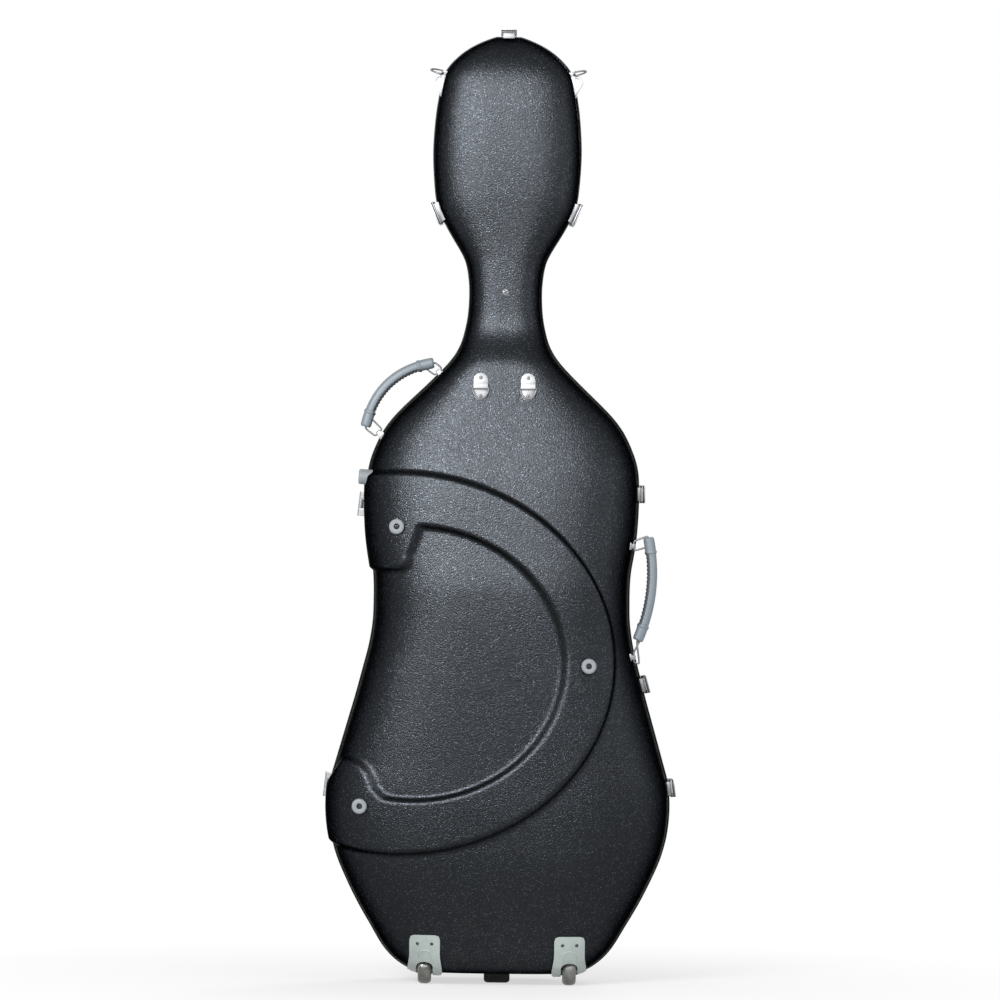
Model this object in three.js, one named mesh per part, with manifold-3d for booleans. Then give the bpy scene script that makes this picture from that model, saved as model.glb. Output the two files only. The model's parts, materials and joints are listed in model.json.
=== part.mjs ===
// Cello hard case, standing on its wheels and rubber feet, back shell to -Y and lid to +Y.
// Millimetres, +Z up. The origin is the middle of the underside of the back shell's own rubber foot.
import * as THREE from "three";
import { mergeVertices, toCreasedNormals } from "three/addons/utils/BufferGeometryUtils.js";
import Module from "manifold-3d";

const wasm = await Module();
wasm.setup();

// Outline of both shells, as heights above the floor and half widths
const SHELL_FOOT = 16.5;
const BOTTOM_HALF = 118.5;
const LOWER_BOUT_HEIGHT = 258;
const LOWER_BOUT_HALF = 249;
const WAIST_HEIGHT = 572;
const WAIST_HALF = 186;
const UPPER_BOUT_HEIGHT = 712;
const UPPER_BOUT_HALF = 198.2;
const SHOULDER_HEIGHT = 905;
const SHOULDER_HALF = 82.8;
const NECK_HEIGHT = 1012;
const NECK_HALF = 51.2;
const HEAD_HEIGHT = 1218;
const HEAD_HALF = 107.2;
const SHELL_TOP = 1387.5;
const TOP_HALF = 16;

// Depths of the back shell and of the lid behind and before the seam
const BACK_BOTTOM_DEPTH = 88;
const BACK_LOWER_DEPTH = 128;
const BACK_WAIST_DEPTH = 134;
const BACK_UPPER_DEPTH = 120;
const BACK_SHOULDER_DEPTH = 88;
const BACK_NECK_DEPTH = 56;
const BACK_HEAD_DEPTH = 64;
const BACK_TOP_DEPTH = 12;
const LID_BOTTOM_DEPTH = 78;
const LID_LOWER_DEPTH = 128;
const LID_WAIST_DEPTH = 146;
const LID_UPPER_DEPTH = 124;
const LID_SHOULDER_DEPTH = 76;
const LID_NECK_DEPTH = 50;
const LID_HEAD_DEPTH = 66;
const LID_TOP_DEPTH = 12;

// Moulded walls and lining
const WALL = 3.5;
const LINING = 9;
const GAP = 0.3;
const SHELL_EDGE = 2.8;
const LINING_EDGE = 4;
const OVERRUN = 60;

// Meeting rims of the two shells
const RIM_PROUD = 2.2;
const RIM_HEIGHT = 9;
const RIM_SEAM = 0.2;
const RIM_CAP = 2.4;
const RIM_REACH = 4.8;
const TONGUE_WIDTH = 2;
const TONGUE_HEIGHT = 2.4;

// C-shaped relief on the back shell
const RELIEF_RISE = 11;
const RELIEF_WRAP = 8;
const RELIEF_SLOPE = 9;
const RELIEF_X = -148;
const RELIEF_HEIGHT = 469;
const RELIEF_OUTER_HALF = 315;
const RELIEF_OUTER_TALL = 282;
const RELIEF_INNER_X = -126;
const RELIEF_INNER_HALF = 212;
const RELIEF_INNER_TALL = 195;
const RELIEF_LEFT = -300;
const UPPER_LOBE_X = -127;
const UPPER_LOBE_FLOOR = 600.5;
const LOWER_LOBE_X = -176;
const LOWER_LOBE_CEILING = 332.5;
const LOWER_LOBE_RUN = 52;
const LOWER_LOBE_BEND = 9;
const LOWER_LOBE_DROP = 42;
const LOBE_EDGE_BOW = 4;
const lobeEdgeShares = [0, 0.55, 0.7, 0.85];
const LOBE_CORNER = 26;
const LOBE_REACH = 13;
const SEAM_SWELL_SHARE = -1 / 16;

// Wheels and their housings
const WHEEL_X = 105.6;
const WHEEL_Y = -69.5;
const WHEEL_RADIUS = 21.5;
const WHEEL_WIDTH = 20;
const WHEEL_BORE = 2.9;
const AXLE_RADIUS = 2.5;
const wheelSideShares = [
  [0.35, 1],
  [0.7, 0.72],
  [0.87, 1],
  [0.965, 0.55],
];
const HOUSING_TOP = 73;
const HOUSING_FLOOR = 12;
const HOUSING_TOP_HALF = 22.3;
const HOUSING_FLOOR_HALF = 25.8;
const HOUSING_CORNER = 7;
const HOUSING_THICK = 3.5;
const HOUSING_INNER_Y = -50;
const WELL_HALF = 12.2;
const WELL_WALL = 2.5;
const WELL_ROOM = 2;
const ARCH_TOP = 33.5;
const ARCH_ROUND = 7;

// Rubber feet under the case, on its back and on its left wall
const REST_FOOT_HALF = 19;
const REST_FOOT_DEEP = 30;
const REST_FOOT_TAPER = 3;
const REST_FOOT_CORNER = 6;
const REST_FOOT_TALL = 25;
const BASE_FOOT_Y = -21;
const LID_FOOT_Y = 52;
const FOOT_RADIUS = 11;
const FOOT_FACE_RADIUS = 9;
const FOOT_RISE = 12;
const FOOT_ROUND = 2.5;
const FOOT_SIDE_ROUND = 4;
const FOOT_HOLE_RADIUS = 4.2;
const FOOT_HOLE_DEEP = 7;
const UPPER_FOOT = [-154, 667];
const MIDDLE_FOOT = [128, 468];
const LOWER_FOOT = [-203, 260];
const SIDE_FOOT_HEIGHT = 739;
const SIDE_FOOT_Y = -50;

// Latches
const HEAD_LATCH_HEIGHT = 1131;
const UPPER_LATCH_HEIGHT = 719;
const WAIST_LATCH_HEIGHT = 438;
const LOWER_LATCH_HEIGHT = 287;
const LATCH_WIDTH = 26;
const HEAD_LATCH_WIDTH = 34;
const TOP_LATCH_WIDTH = 22.6;
const LATCH_SHEET = 1.4;
const LATCH_PIN_RADIUS = 1.3;
const LATCH_PIN_BORE = 1.6;
const LATCH_PIN_OUT = 5.6;
const LATCH_PIN_Y = 27;
const LATCH_BASE_END = 34;
const LATCH_BASE_START = 3;
const LATCH_PLATE_OUT = 9.2;
const LATCH_TIP_Y = -17;
const LATCH_FINGER = 6;
const LATCH_FINGER_OUT = 10.8;
const LATCH_FLANGE_OUT = 3.2;
const LATCH_SIDE_ROOM = 1.6;
const LATCH_HOOK_INSET = 1;
const TOP_LATCH_LIFT = 1.4;
const KEEPER_START = 3;
const KEEPER_END = 22;
const KEEPER_LIP_Y = -13;
const KEEPER_LIP_OUT = 5.9;
const KEEPER_LIP_THICK = 2;

// Hinges of the lid, on one line that touches both bouts on the left, and below those places
const HINGE_LOW_DROP = 3;
const HINGE_HIGH_DROP = 44;
const HINGE_OFFSET = 6.6;
const HINGE_LENGTH = 36;
const HINGE_MIDDLE = 13;
const HINGE_KNUCKLE_RADIUS = 3.4;
const HINGE_PIN_RADIUS = 1.6;
const HINGE_PIN_BORE = 2;
const HINGE_LEAF = 32;
const HINGE_LEAF_THICK = 1.6;
const HINGE_ROOM = 0.5;

// Carrying handles: the lower eye's place, then places out from the wall and up from that eye
const LEFT_HANDLE_RISE = 53.5;
const LEFT_HANDLE_Y = -30;
const LEFT_EYES = [
  [6.5, 0],
  [4.2, 90.5],
];
const LEFT_GRIP_ENDS = [
  [31.9, 8.5],
  [23.5, 103.5],
];
const LEFT_GRIP_BOW = 23;
const RIGHT_HANDLE_DROP = 92;
const RIGHT_HANDLE_Y = -58;
const RIGHT_EYES = [
  [-1.6, 0],
  [-0.8, 163],
];
const RIGHT_GRIP_ENDS = [
  [9.3, 25],
  [18.6, 176],
];
const RIGHT_GRIP_BOW = 12;
const RIGHT_KNEE = [4.8, -9.5];
const WIRE_RADIUS = 1.5;
const WIRE_ROOM = 0.4;
const LOOP_CORNER = 2.8;
const CORNER_SHARE = 0.45;
const LOOP_OVERHANG = 2.4;
const EYE_SPAN = 14.5;
const EYE_LENGTH = 6.5;
const EYE_WALL = 1.6;
const EYE_ROOT = 21;
const EYE_FLANGE_LENGTH = 10.4;
const GRIP_THICK = 16;
const GRIP_WIDE = 19;
const GRIP_BAR = 13;
const GRIP_BAR_WIDE = 4.4;
const GRIP_SIDES = 10;
const COLLAR_SWELL = 1;
const COLLAR_SHARE = 0.14;
const COLLAR_EDGE_SHARE = 0.02;

// Strap plates and their rings on the back
const STRAP_X = 34.6;
const STRAP_HEIGHT = 873;
const STRAP_PLATE_HALF = 10.5;
const STRAP_PLATE_TALL = 41;
const STRAP_PLATE_THICK = 1.6;
const STRAP_BAND_TALL = 8;
const STRAP_RING_WIDTH = 27.6;
const STRAP_RING_DROP = 20;
const STRAP_WIRE_RADIUS = 1.5;

// Head brackets, as places out from the wall and up along it, and their rings
const HEAD_BRACKET_HEIGHT = 1320;
const HEAD_BRACKET_Y = -20;
const HEAD_BRACKET_WIDE = 8;
const HEAD_BRACKET_OUTLINE = [
  [-3, -21],
  [1.8, -21],
  [2.6, -16],
  [14.6, -1.5],
  [12.4, 9],
  [2.6, 11.5],
  [-3, 11.5],
];
const HEAD_BRACKET_WINDOW = [
  [3, -9.5],
  [11.2, -0.6],
  [9.8, 6.2],
  [3, 8],
];
const HEAD_RING_OUT = 3;
const HEAD_RING_UP = 14.5;
const HEAD_RING_BARREL = 2.7;
const HEAD_RING_WIDTH = 22;
const HEAD_RING_REACH = 20;
const HEAD_RING_WIRE = 1.3;
const HEAD_RING_BORE = 1.75;
const HEAD_RING_TILT = 0.35;
const HEAD_RING_RISE = 0.06;

// Padding inside
const CRADLE_HEIGHT = 1000;
const CRADLE_TALL = 96;
const CRADLE_HALF = 37;
const CRADLE_TOP_Y = -9;
const CRADLE_GROOVE = 21;
const CRADLE_CROWN = 4;
const STRAP_WEB_TALL = 38;
const STRAP_WEB_THICK = 2.4;
const STRAP_WEB_RISE = 9;
const CLIP_X = 62;
const CLIP_HEIGHT = 640;
const CLIP_LENGTH = 44;
const CLIP_WIDTH = 13;
const CLIP_THICK = 6;
const CLIP_STEM_RADIUS = 7;
const CLIP_STEM = 9;
const CLIP_PAD_RADIUS = 12;
const CLIP_PAD_RISE = 8;

// Roundness of the shells' sections and the fineness of the curved faces
const SECTION_X_POWER = 3.3;
const SECTION_Y_POWER = 3;
const SECTION_STEPS = 12;
const INNER_STEPS = 8;
const OUTLINE_TOLERANCE = 1.15;
const WALL_TOLERANCE = 1.5;
const LINING_TOLERANCE = 6;
const MERGE_DISTANCE = 1e-4;
const CREASE_ANGLE = 0.55;

const black = { color: 0x1b1c1f, roughness: 0.45, metalness: 0 };
const steel = { color: 0xb9bcc0, roughness: 0.25, metalness: 1 };
const greyGrip = { color: 0x7f8a92, roughness: 0.6, metalness: 0 };
const paleGrey = { color: 0xaab6b2, roughness: 0.5, metalness: 0 };
const rubberGrey = { color: 0x9aa0a4, roughness: 0.8, metalness: 0 };
const rubberBlack = { color: 0x202224, roughness: 0.9, metalness: 0 };
const smoky = { color: 0x6f726c, roughness: 0.3, metalness: 0 };
const velour = { color: 0x2b2d33, roughness: 1, metalness: 0 };
const webbing = { color: 0x141517, roughness: 0.9, metalness: 0 };

// Rows between two stations: shares of the way in height, half width and depth
const stations = [
  { height: SHELL_FOOT, half: BOTTOM_HALF, back: BACK_BOTTOM_DEPTH, lid: LID_BOTTOM_DEPTH },
  { height: LOWER_BOUT_HEIGHT, half: LOWER_BOUT_HALF, back: BACK_LOWER_DEPTH, lid: LID_LOWER_DEPTH },
  { height: WAIST_HEIGHT, half: WAIST_HALF, back: BACK_WAIST_DEPTH, lid: LID_WAIST_DEPTH },
  { height: UPPER_BOUT_HEIGHT, half: UPPER_BOUT_HALF, back: BACK_UPPER_DEPTH, lid: LID_UPPER_DEPTH },
  { height: SHOULDER_HEIGHT, half: SHOULDER_HALF, back: BACK_SHOULDER_DEPTH, lid: LID_SHOULDER_DEPTH },
  { height: NECK_HEIGHT, half: NECK_HALF, back: BACK_NECK_DEPTH, lid: LID_NECK_DEPTH },
  { height: HEAD_HEIGHT, half: HEAD_HALF, back: BACK_HEAD_DEPTH, lid: LID_HEAD_DEPTH },
  { height: SHELL_TOP, half: TOP_HALF, back: BACK_TOP_DEPTH, lid: LID_TOP_DEPTH },
];
const stretchShares = [
  [
    [0, 0, 0],
    [0.0165, 0.09, 0.22],
    [0.0535, 0.2, 0.4],
    [0.128, 0.344, 0.48],
    [0.272, 0.508, 0.6],
    [0.416, 0.664, 0.72],
    [0.564, 0.8, 0.83],
    [0.708, 0.912, 0.92],
    [0.87, 0.982, 0.97],
  ],
  [
    [0, 0, 0],
    [0.102, 0.027, 0.1],
    [0.191, 0.143, 0.2],
    [0.293, 0.286, 0.35],
    [0.404, 0.444, 0.5],
    [0.516, 0.603, 0.65],
    [0.64, 0.763, 0.8],
    [0.78, 0.93, 0.93],
    [0.898, 0.997, 1],
  ],
  [
    [0, 0, 0],
    [0.2, 0.083, 0.15],
    [0.414, 0.5, 0.4],
    [0.68, 0.86, 0.68],
  ],
  [
    [0, 0, 0],
    [0.166, 0.005, 0.13],
    [0.275, 0.039, 0.25],
    [0.378, 0.104, 0.38],
    [0.482, 0.186, 0.5],
    [0.585, 0.307, 0.62],
    [0.689, 0.472, 0.73],
    [0.793, 0.654, 0.83],
    [0.896, 0.831, 0.92],
  ],
  [
    [0, 0, 0],
    [0.159, 0.413, 0.28],
    [0.327, 0.683, 0.66],
    [0.495, 0.825, 0.93],
    [0.7, 0.952, 1],
  ],
  [
    [0, 0, 0],
    [0.214, 0.09, 0.05],
    [0.311, 0.268, 0.15],
    [0.417, 0.509, 0.3],
    [0.524, 0.723, 0.5],
    [0.631, 0.893, 0.7],
    [0.738, 0.946, 0.85],
  ],
  [
    [0, 0, 0],
    [0.3, 0.032, 0.01],
    [0.5, 0.085, 0.04],
    [0.678, 0.151, 0.14],
    [0.772, 0.28, 0.27],
    [0.854, 0.441, 0.44],
    [0.924, 0.645, 0.64],
    [0.971, 0.839, 0.83],
    [1, 1, 1],
  ],
];
const mix = THREE.MathUtils.lerp;
const allLevels = stretchShares.flatMap((rows, i) => {
  const from = stations[i];
  const to = stations[i + 1];
  return rows.map(([up, across, deep]) => ({
    height: mix(from.height, to.height, up),
    half: mix(from.half, to.half, across),
    back: mix(from.back, to.back, deep),
    lid: mix(from.lid, to.lid, deep),
  }));
});

// The levels that are needed to keep within a tolerance of the full list
function thinned(list, tolerance) {
  const [first, last] = [list[0], list[list.length - 1]];
  const off = list.map((level) => {
    const share = (level.height - first.height) / (last.height - first.height);
    const miss = (key) => Math.abs(level[key] - mix(first[key], last[key], share));
    return Math.max(miss("half"), miss("back") / 2, miss("lid") / 2);
  });
  const most = Math.max(...off);
  if (list.length < 3 || most < tolerance) return [first, last];
  const split = off.indexOf(most);
  const [low, high] = [list.slice(0, split + 1), list.slice(split)];
  return [...thinned(low, tolerance), ...thinned(high, tolerance).slice(1)];
}
const levels = thinned(allLevels, OUTLINE_TOLERANCE);

// Closed geometry to solid, and solid to geometry
function solidOf(geometry) {
  const bare = geometry.clone();
  bare.deleteAttribute("normal");
  bare.deleteAttribute("uv");
  const merged = mergeVertices(bare, MERGE_DISTANCE);
  const kept = [];
  const index = merged.index.array;
  for (let i = 0; i < index.length; i += 3) {
    const [a, b, c] = [index[i], index[i + 1], index[i + 2]];
    if (a !== b && b !== c && a !== c) kept.push(a, b, c);
  }
  const made = (corners) =>
    new wasm.Manifold(
      new wasm.Mesh({
        numProp: 3,
        vertProperties: merged.attributes.position.array,
        triVerts: new Uint32Array(corners),
      }),
    );
  const solid = made(kept);
  return solid.volume() < 0 ? made(kept.reverse()) : solid;
}

function geometryOf(solid) {
  const mesh = solid.getMesh();
  const geometry = new THREE.BufferGeometry();
  geometry.setAttribute("position", new THREE.BufferAttribute(mesh.vertProperties, 3));
  geometry.setIndex(new THREE.BufferAttribute(mesh.triVerts, 1));
  return geometry;
}

function join(...solids) {
  return solids.reduce((sum, next) => sum.add(next));
}

// Faces between rings of points, with the two ends closed by flat caps or joined round
function capFaces(ring, start, forward) {
  const normal = new THREE.Vector3();
  ring.forEach((point, i) => normal.add(point.clone().cross(ring[(i + 1) % ring.length])));
  const across = ring[1].clone().sub(ring[0]).normalize();
  const up = normal.normalize().clone().cross(across);
  const flat = ring.map((point) => new THREE.Vector2(point.dot(across), point.dot(up)));
  return THREE.ShapeUtils.triangulateShape(flat, []).flatMap((corners) => {
    const sameWay = THREE.ShapeUtils.area(corners.map((c) => flat[c])) > 0;
    const ordered = sameWay === forward ? corners : [...corners].reverse();
    return ordered.map((c) => start + c);
  });
}

function loft(rings, open = true) {
  const count = rings[0].length;
  const last = rings.length - 1;
  const faces = [];
  for (let i = 0; i < (open ? last : rings.length); i++) {
    const next = ((i + 1) % rings.length) * count;
    for (let j = 0; j < count; j++) {
      const k = (j + 1) % count;
      faces.push(i * count + j, i * count + k, next + k);
      faces.push(i * count + j, next + k, next + j);
    }
  }
  if (open) {
    faces.push(...capFaces(rings[0], 0, false));
    faces.push(...capFaces(rings[last], last * count, true));
  }
  const geometry = new THREE.BufferGeometry();
  const places = rings.flat().flatMap((p) => [p.x, p.y, p.z]);
  geometry.setAttribute("position", new THREE.Float32BufferAttribute(places, 3));
  geometry.setIndex(faces);
  return solidOf(geometry);
}

function shapeOf(points) {
  return new THREE.Shape(points.map(([a, b]) => new THREE.Vector2(a, b)));
}

// A flat shape pushed out along Z or along Y between two places
function extrudeZ(shape, from, to) {
  const geometry = new THREE.ExtrudeGeometry(shape, {
    depth: to - from,
    bevelEnabled: false,
    curveSegments: 3,
  });
  return geometry.translate(0, 0, from);
}

function extrudeY(shape, from, to) {
  return extrudeZ(shape, -to, -from).rotateX(Math.PI / 2);
}

function block(x0, x1, y0, y1, z0, z1) {
  const geometry = new THREE.BoxGeometry(x1 - x0, y1 - y0, z1 - z0);
  return solidOf(geometry.translate((x0 + x1) / 2, (y0 + y1) / 2, (z0 + z1) / 2));
}

function rod(from, to, radius, sides) {
  const start = new THREE.Vector3(...from);
  const way = new THREE.Vector3(...to).sub(start);
  const geometry = new THREE.CylinderGeometry(radius, radius, way.length(), sides);
  const turn = new THREE.Quaternion().setFromUnitVectors(
    new THREE.Vector3(0, 1, 0),
    way.clone().normalize(),
  );
  geometry.applyQuaternion(turn);
  const middle = start.addScaledVector(way, 1 / 2);
  return solidOf(geometry.translate(middle.x, middle.y, middle.z));
}

// Round wire bent to a closed flat loop: points in the plane, then where the plane lies
function wireLoop(points, radius, sides, placeOf) {
  const rings = points.map((point, i) => {
    const before = points[(i + points.length - 1) % points.length];
    const after = points[(i + 1) % points.length];
    const way = after.clone().sub(before).normalize();
    return Array.from({ length: sides }, (_, j) => {
      const angle = ((j + 1 / 2) * 2 * Math.PI) / sides;
      const out = radius * Math.cos(angle);
      return placeOf(point.x + way.y * out, point.y - way.x * out, radius * Math.sin(angle));
    });
  });
  return loft(rings, false);
}

// A closed outline with each corner rounded by a short curve
function roundCorners(corners, radius, steps) {
  return corners.flatMap(([x, y], i) => {
    const at = new THREE.Vector2(x, y);
    const before = new THREE.Vector2(...corners[(i + corners.length - 1) % corners.length]);
    const after = new THREE.Vector2(...corners[(i + 1) % corners.length]);
    const reach = (other) => {
      const way = other.sub(at);
      return at.clone().addScaledVector(way, Math.min(radius / way.length(), CORNER_SHARE));
    };
    return new THREE.QuadraticBezierCurve(reach(before), at, reach(after)).getPoints(steps);
  });
}

// Levels moved square to the outline, outwards for a positive distance, and deepened by it
function offsetLevels(list, distance) {
  const moved = list.map((level, i) => {
    const before = list[i - 1] ?? { half: 0, height: level.height };
    const after = list[i + 1] ?? { half: -level.half, height: level.height };
    const across = after.half - before.half;
    const up = after.height - before.height;
    const length = Math.hypot(across, up);
    return {
      height: level.height - (distance * across) / length,
      half: level.half + (distance * up) / length,
      back: level.back + distance,
      lid: level.lid + distance,
    };
  });
  return moved.filter((level) => Math.min(level.back, level.lid) > WALL);
}

const innerLevels = thinned(levels, WALL_TOLERANCE);
const roomLevels = thinned(levels, LINING_TOLERANCE);

// Cross-section of one shell at a level, from rim to rim, swelling away from the rim by wrap and rise
function sectionRing(level, side, steps, wrap, rise) {
  const depth = side < 0 ? level.back : level.lid;
  return Array.from({ length: steps + 1 }, (_, j) => {
    const angle = (Math.PI * j) / steps;
    const [cos, sin] = [Math.cos(angle), Math.sin(angle)];
    const seam = j === 0 || j === steps;
    const half = level.half + wrap * (seam ? SEAM_SWELL_SHARE : 1);
    const x = half * Math.sign(cos) * Math.abs(cos) ** (2 / SECTION_X_POWER);
    const y = seam ? 0 : (depth + rise) * sin ** (2 / SECTION_Y_POWER);
    return new THREE.Vector3(Math.abs(cos) < MERGE_DISTANCE ? 0 : x, side * y, level.height);
  });
}

function shellBody(list, side, steps, wrap = 0, rise = 0) {
  return loft(list.map((level) => sectionRing(level, side, steps, wrap, rise)));
}

// Half width and depth between levels, and the surface of a shell over a place
function levelAt(height) {
  const next = Math.max(1, levels.findIndex((level) => level.height >= height));
  const [low, high] = [levels[next - 1], levels[next]];
  const share = (height - low.height) / (high.height - low.height);
  return {
    half: mix(low.half, high.half, share),
    back: mix(low.back, high.back, share),
    lid: mix(low.lid, high.lid, share),
  };
}

const EDGE_SHARE = 0.9;
function surfaceDepth(x, height, shell) {
  const level = levelAt(height);
  const across = Math.min(Math.abs(x / level.half), EDGE_SHARE);
  const corner = (j) => {
    const angle = (Math.PI * j) / SECTION_STEPS;
    return [Math.cos(angle) ** (2 / SECTION_X_POWER), Math.sin(angle) ** (2 / SECTION_Y_POWER)];
  };
  let j = 1;
  while (j + 1 < SECTION_STEPS / 2 && corner(j + 1)[0] > across) j += 1;
  const [[nearX, nearY], [farX, farY]] = [corner(j), corner(j + 1)];
  return level[shell] * mix(nearY, farY, (across - nearX) / (farX - nearX));
}

// Rim: a bent section carried round the outline, as distances out from it and along Y
const rimPath = [
  ...levels.map((level) => [level.half, level.height]),
  ...levels.map((level) => [-level.half, level.height]).reverse(),
].map(([x, height]) => new THREE.Vector2(x, height));

function rimBody(section) {
  const rings = rimPath.map((_, i) =>
    section.map(([out, y]) => {
      const point = insetOutline(rimPath, -out)[i];
      return new THREE.Vector3(point.x, y, point.y);
    }),
  );
  return loft(rings, false);
}

const backRimSection = [
  [RIM_PROUD, -RIM_HEIGHT],
  [RIM_PROUD, -RIM_SEAM],
  [TONGUE_WIDTH - RIM_REACH, -RIM_SEAM],
  [TONGUE_WIDTH - RIM_REACH, TONGUE_HEIGHT],
  [-RIM_REACH, TONGUE_HEIGHT],
  [-RIM_REACH, -RIM_CAP],
  [GAP, -RIM_CAP],
  [GAP, -RIM_HEIGHT],
];
const lidRimSection = [
  [RIM_PROUD, RIM_HEIGHT],
  [GAP, RIM_HEIGHT],
  [GAP, RIM_CAP],
  [TONGUE_WIDTH - RIM_REACH + 2 * GAP, RIM_CAP],
  [TONGUE_WIDTH - RIM_REACH + 2 * GAP, RIM_SEAM],
  [RIM_PROUD, RIM_SEAM],
];
const rimRoom = [
  [RIM_PROUD + GAP, -RIM_HEIGHT - GAP],
  [RIM_PROUD + GAP, RIM_HEIGHT + GAP],
  [-RIM_REACH, RIM_HEIGHT + GAP],
  [-RIM_REACH, -RIM_HEIGHT - GAP],
];

// Outline of the C-shaped relief, from the upper left round to the upper lobe
function ellipsePoints(x, height, half, tall, from, to, steps) {
  const curve = new THREE.EllipseCurve(x, height, half, tall, from, to, to < from);
  return curve.getPoints(steps);
}

function reliefOutline(fineness) {
  const turnAt = (x, middle, half) => Math.acos((x - middle) / half);
  const outerTurn = turnAt(RELIEF_LEFT, RELIEF_X, RELIEF_OUTER_HALF);
  const lowTurn = turnAt(LOWER_LOBE_X + LOBE_REACH, RELIEF_INNER_X, RELIEF_INNER_HALF);
  const highTurn = turnAt(UPPER_LOBE_X + LOBE_REACH, RELIEF_INNER_X, RELIEF_INNER_HALF);
  const outerSize = [RELIEF_OUTER_HALF, RELIEF_OUTER_TALL];
  const innerSize = [RELIEF_INNER_HALF, RELIEF_INNER_TALL];
  const edge = (end, height, bow) =>
    lobeEdgeShares.map((share) => {
      return new THREE.Vector2(mix(RELIEF_LEFT, end, share), height + bow * (1 - share ** 2));
    });
  const corner = (...places) =>
    new THREE.QuadraticBezierCurve(...places.map((p) => new THREE.Vector2(...p))).getPoints(3);
  return [
    ...ellipsePoints(RELIEF_X, RELIEF_HEIGHT, ...outerSize, outerTurn, -outerTurn, fineness * 3),
    ...edge(LOWER_LOBE_X - LOWER_LOBE_RUN, LOWER_LOBE_CEILING, LOBE_EDGE_BOW),
    ...corner(
      [LOWER_LOBE_X - LOWER_LOBE_RUN, LOWER_LOBE_CEILING],
      [LOWER_LOBE_X - LOWER_LOBE_BEND, LOWER_LOBE_CEILING],
      [LOWER_LOBE_X, LOWER_LOBE_CEILING - LOWER_LOBE_DROP],
    ),
    ...ellipsePoints(RELIEF_INNER_X, RELIEF_HEIGHT, ...innerSize, -lowTurn, highTurn, fineness * 2),
    ...corner(
      [UPPER_LOBE_X, UPPER_LOBE_FLOOR + LOBE_CORNER],
      [UPPER_LOBE_X, UPPER_LOBE_FLOOR],
      [UPPER_LOBE_X - LOBE_CORNER, UPPER_LOBE_FLOOR],
    ),
    ...edge(UPPER_LOBE_X - LOBE_CORNER, UPPER_LOBE_FLOOR, -LOBE_EDGE_BOW).reverse(),
  ];
}

function insetOutline(points, distance) {
  const inward = -Math.sign(THREE.ShapeUtils.area(points)) * distance;
  return points.map((point, i) => {
    const before = points[(i + points.length - 1) % points.length];
    const after = points[(i + 1) % points.length];
    const first = point.clone().sub(before).normalize();
    const second = after.clone().sub(point).normalize();
    const out = new THREE.Vector2(first.y + second.y, -first.x - second.x);
    const stretch = out.lengthSq() / 2;
    return point.clone().addScaledVector(out, inward / stretch);
  });
}

// The raised C on the back, grown square to its faces by the given distance
const deepY = -(BACK_WAIST_DEPTH + OVERRUN);
function reliefBody(distance, list = levels, steps = SECTION_STEPS, fineness = SECTION_STEPS) {
  const outline = reliefOutline(fineness);
  const layer = (share) =>
    insetOutline(outline, share * RELIEF_SLOPE - distance).map((point) => {
      const depth = surfaceDepth(point.x, point.y, "back") + distance + share * RELIEF_RISE;
      return new THREE.Vector3(point.x, -depth, point.y);
    });
  const foot = layer(-1 / 4);
  const root = foot.map((point) => point.clone().setY(0));
  const above = layer(3 / 2);
  const end = above.map((point) => point.clone().setY(deepY));
  const prism = loft([root, foot, above, end]);
  const grown = shellBody(offsetLevels(list, distance), -1, steps, RELIEF_WRAP, RELIEF_RISE);
  return grown.intersect(prism).subtract(rimBody(rimRoom));
}

const outerBack = (distance) =>
  shellBody(offsetLevels(levels, distance), -1, SECTION_STEPS).add(reliefBody(distance));
const outerLid = (distance) => shellBody(offsetLevels(levels, distance), 1, SECTION_STEPS);
const innerBody = (distance, side, list = innerLevels) =>
  shellBody(offsetLevels(list, -distance), side, INNER_STEPS);

// Everything on one side of a plane parallel to the seam
function beyondSeam(side, distance) {
  const [near, far] = [side * distance, side * (LID_WAIST_DEPTH + OVERRUN)];
  const width = LOWER_BOUT_HALF + OVERRUN;
  const [low, high] = [Math.min(near, far), Math.max(near, far)];
  return block(-width, width, low, high, -OVERRUN, SHELL_TOP + OVERRUN);
}

// What outside pieces are seated on: both shells and rims with the gap added
const backRoom = join(outerBack(GAP), rimBody(rimRoom));
const caseRoom = join(backRoom, outerLid(GAP));
const caseRoomGeometry = geometryOf(caseRoom);
const leafReach = GAP + HINGE_LEAF_THICK;
const leafRim = rimRoom.map(([out, y]) => [out + HINGE_LEAF_THICK, y + Math.sign(y) * HINGE_LEAF_THICK]);
const leafSkin = join(outerBack(leafReach), outerLid(leafReach), rimBody(leafRim));
const leafSkinGeometry = geometryOf(leafSkin);

const parts = new THREE.Group();

function add(parent, name, solid, look) {
  const geometry = toCreasedNormals(geometryOf(solid), CREASE_ANGLE);
  const mesh = new THREE.Mesh(geometry, new THREE.MeshStandardMaterial(look));
  mesh.name = name;
  parent.add(mesh);
  return mesh;
}

// A solid in a frame's own axes, cut to sit on the case or to lie on it as a sheet
function inFrame(geometry, frame) {
  frame.updateMatrixWorld(true);
  return solidOf(geometry.clone().applyMatrix4(frame.matrixWorld.clone().invert()));
}

function seated(solid, frame) {
  return solid.subtract(inFrame(caseRoomGeometry, frame));
}

function asSheet(solid, frame) {
  return solid.intersect(inFrame(leafSkinGeometry, frame));
}

// Frame on the outline: X points out, Y to the lid, Z along the rim
function outlineFrame(height, side) {
  const frame = new THREE.Group();
  const step = FOOT_RADIUS;
  const slope = (levelAt(height + step).half - levelAt(height - step).half) / (2 * step);
  frame.position.set(side * levelAt(height).half, 0, height);
  frame.rotation.y = Math.atan2(slope, side);
  parts.add(frame);
  return frame;
}

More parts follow.
